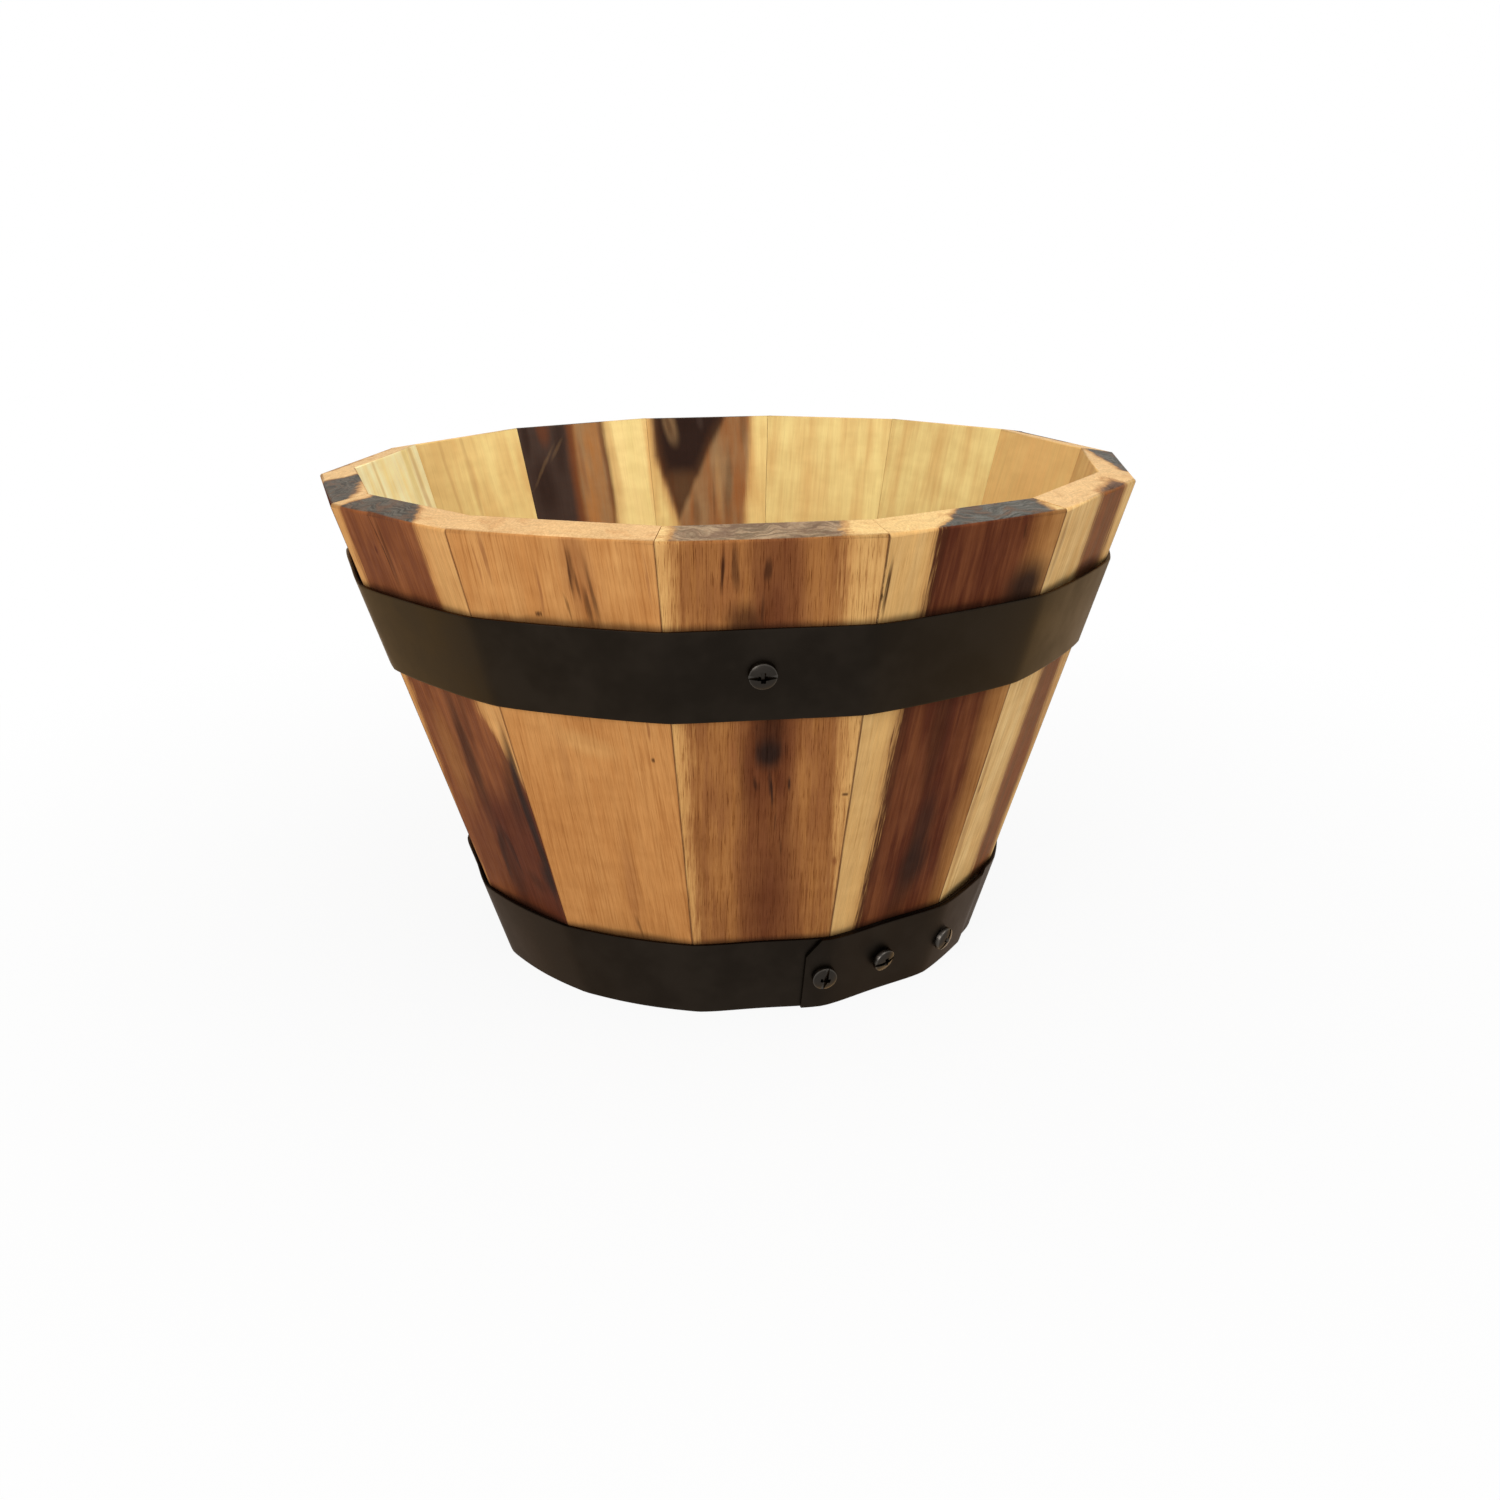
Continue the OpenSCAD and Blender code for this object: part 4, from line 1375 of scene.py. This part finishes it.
def add_floor(reach):
    """A floor of pale paper that glows white to the camera, so that only the planter's shadow shows"""
    bm = bmesh.new()
    bmesh.ops.create_grid(bm, x_segments=8, y_segments=8, size=reach)
    made = new_object("studio_floor", bm)
    paper = Painter(bpy.data.materials.new("studio_paper"))
    paper.dress(paper.shader, {"Base Color": PAPER_WHITE, "Roughness": 0.9, "Specular IOR Level": 0.0})
    glow = paper.add("ShaderNodeEmission")
    glow.inputs["Strength"].default_value = 1.0
    away = paper.measure("LENGTH", paper.add("ShaderNodeTexCoord").outputs["Object"])
    share = paper.times(seen_directly(paper), paper.fade(away, GLOW_NEAR, GLOW_FAR, NEAR_GLOW, 1.0))
    both = paper.add("ShaderNodeMixShader", share, paper.shader.outputs[0], glow.outputs[0])
    output = next(node for node in paper.tree.nodes if node.type == "OUTPUT_MATERIAL")
    paper.plug(output.inputs["Surface"], both.outputs[0])
    made.data.materials.append(paper.owner)


class PLANTER_OT_stage(Operator):
    """Adds the pale floor, the sky, the soft lamps and the camera"""
    bl_idname = "planter.stage"
    bl_label = "Add Stage"
    bl_options = {"REGISTER", "UNDO"}

    def execute(self, context):
        given = context.scene.planter_stage
        context.scene.view_settings.view_transform = "Standard"
        add_sky(given.sky)
        add_floor(given.floor_reach)
        for name, lamp in LAMPS.items():
            add_lamp(name, lamp, getattr(given, name))
        add_camera(given.lens)
        return {"FINISHED"}


# ---- Panel and registration ----

GROUPS = {
    "planter_sizes": PlanterSizes,
    "planter_colours": PlanterColours,
    "planter_stage": PlanterStage,
}
OPERATORS = (
    PLANTER_OT_staves, PLANTER_OT_floor, PLANTER_OT_hoops, PLANTER_OT_screws, PLANTER_OT_stage,
)


class PLANTER_PT_panel(Panel):
    """Lists the planter's pieces and settings"""
    bl_idname = "PLANTER_PT_panel"
    bl_label = "Barrel Planter"
    bl_space_type = "VIEW_3D"
    bl_region_type = "UI"
    bl_category = "Planter"

    def draw(self, context):
        column = self.layout.column(align=True)
        for operator in OPERATORS:
            column.operator(operator.bl_idname)
        for title in GROUPS:
            group = getattr(context.scene, title)
            box = self.layout.box()
            for name in group.__annotations__:
                box.prop(group, name)


CLASSES = (*GROUPS.values(), *OPERATORS, PLANTER_PT_panel)


def register():
    for kind in CLASSES:
        bpy.utils.register_class(kind)
    for name, kind in GROUPS.items():
        setattr(bpy.types.Scene, name, PointerProperty(type=kind))


def unregister():
    for name in GROUPS:
        delattr(bpy.types.Scene, name)
    for kind in reversed(CLASSES):
        bpy.utils.unregister_class(kind)


def main():
    register()
    bpy.ops.planter.stage()
    bpy.ops.planter.staves()
    bpy.ops.planter.floor()
    bpy.ops.planter.hoops()
    bpy.ops.planter.screws()


if __name__ == "__main__":
    main()
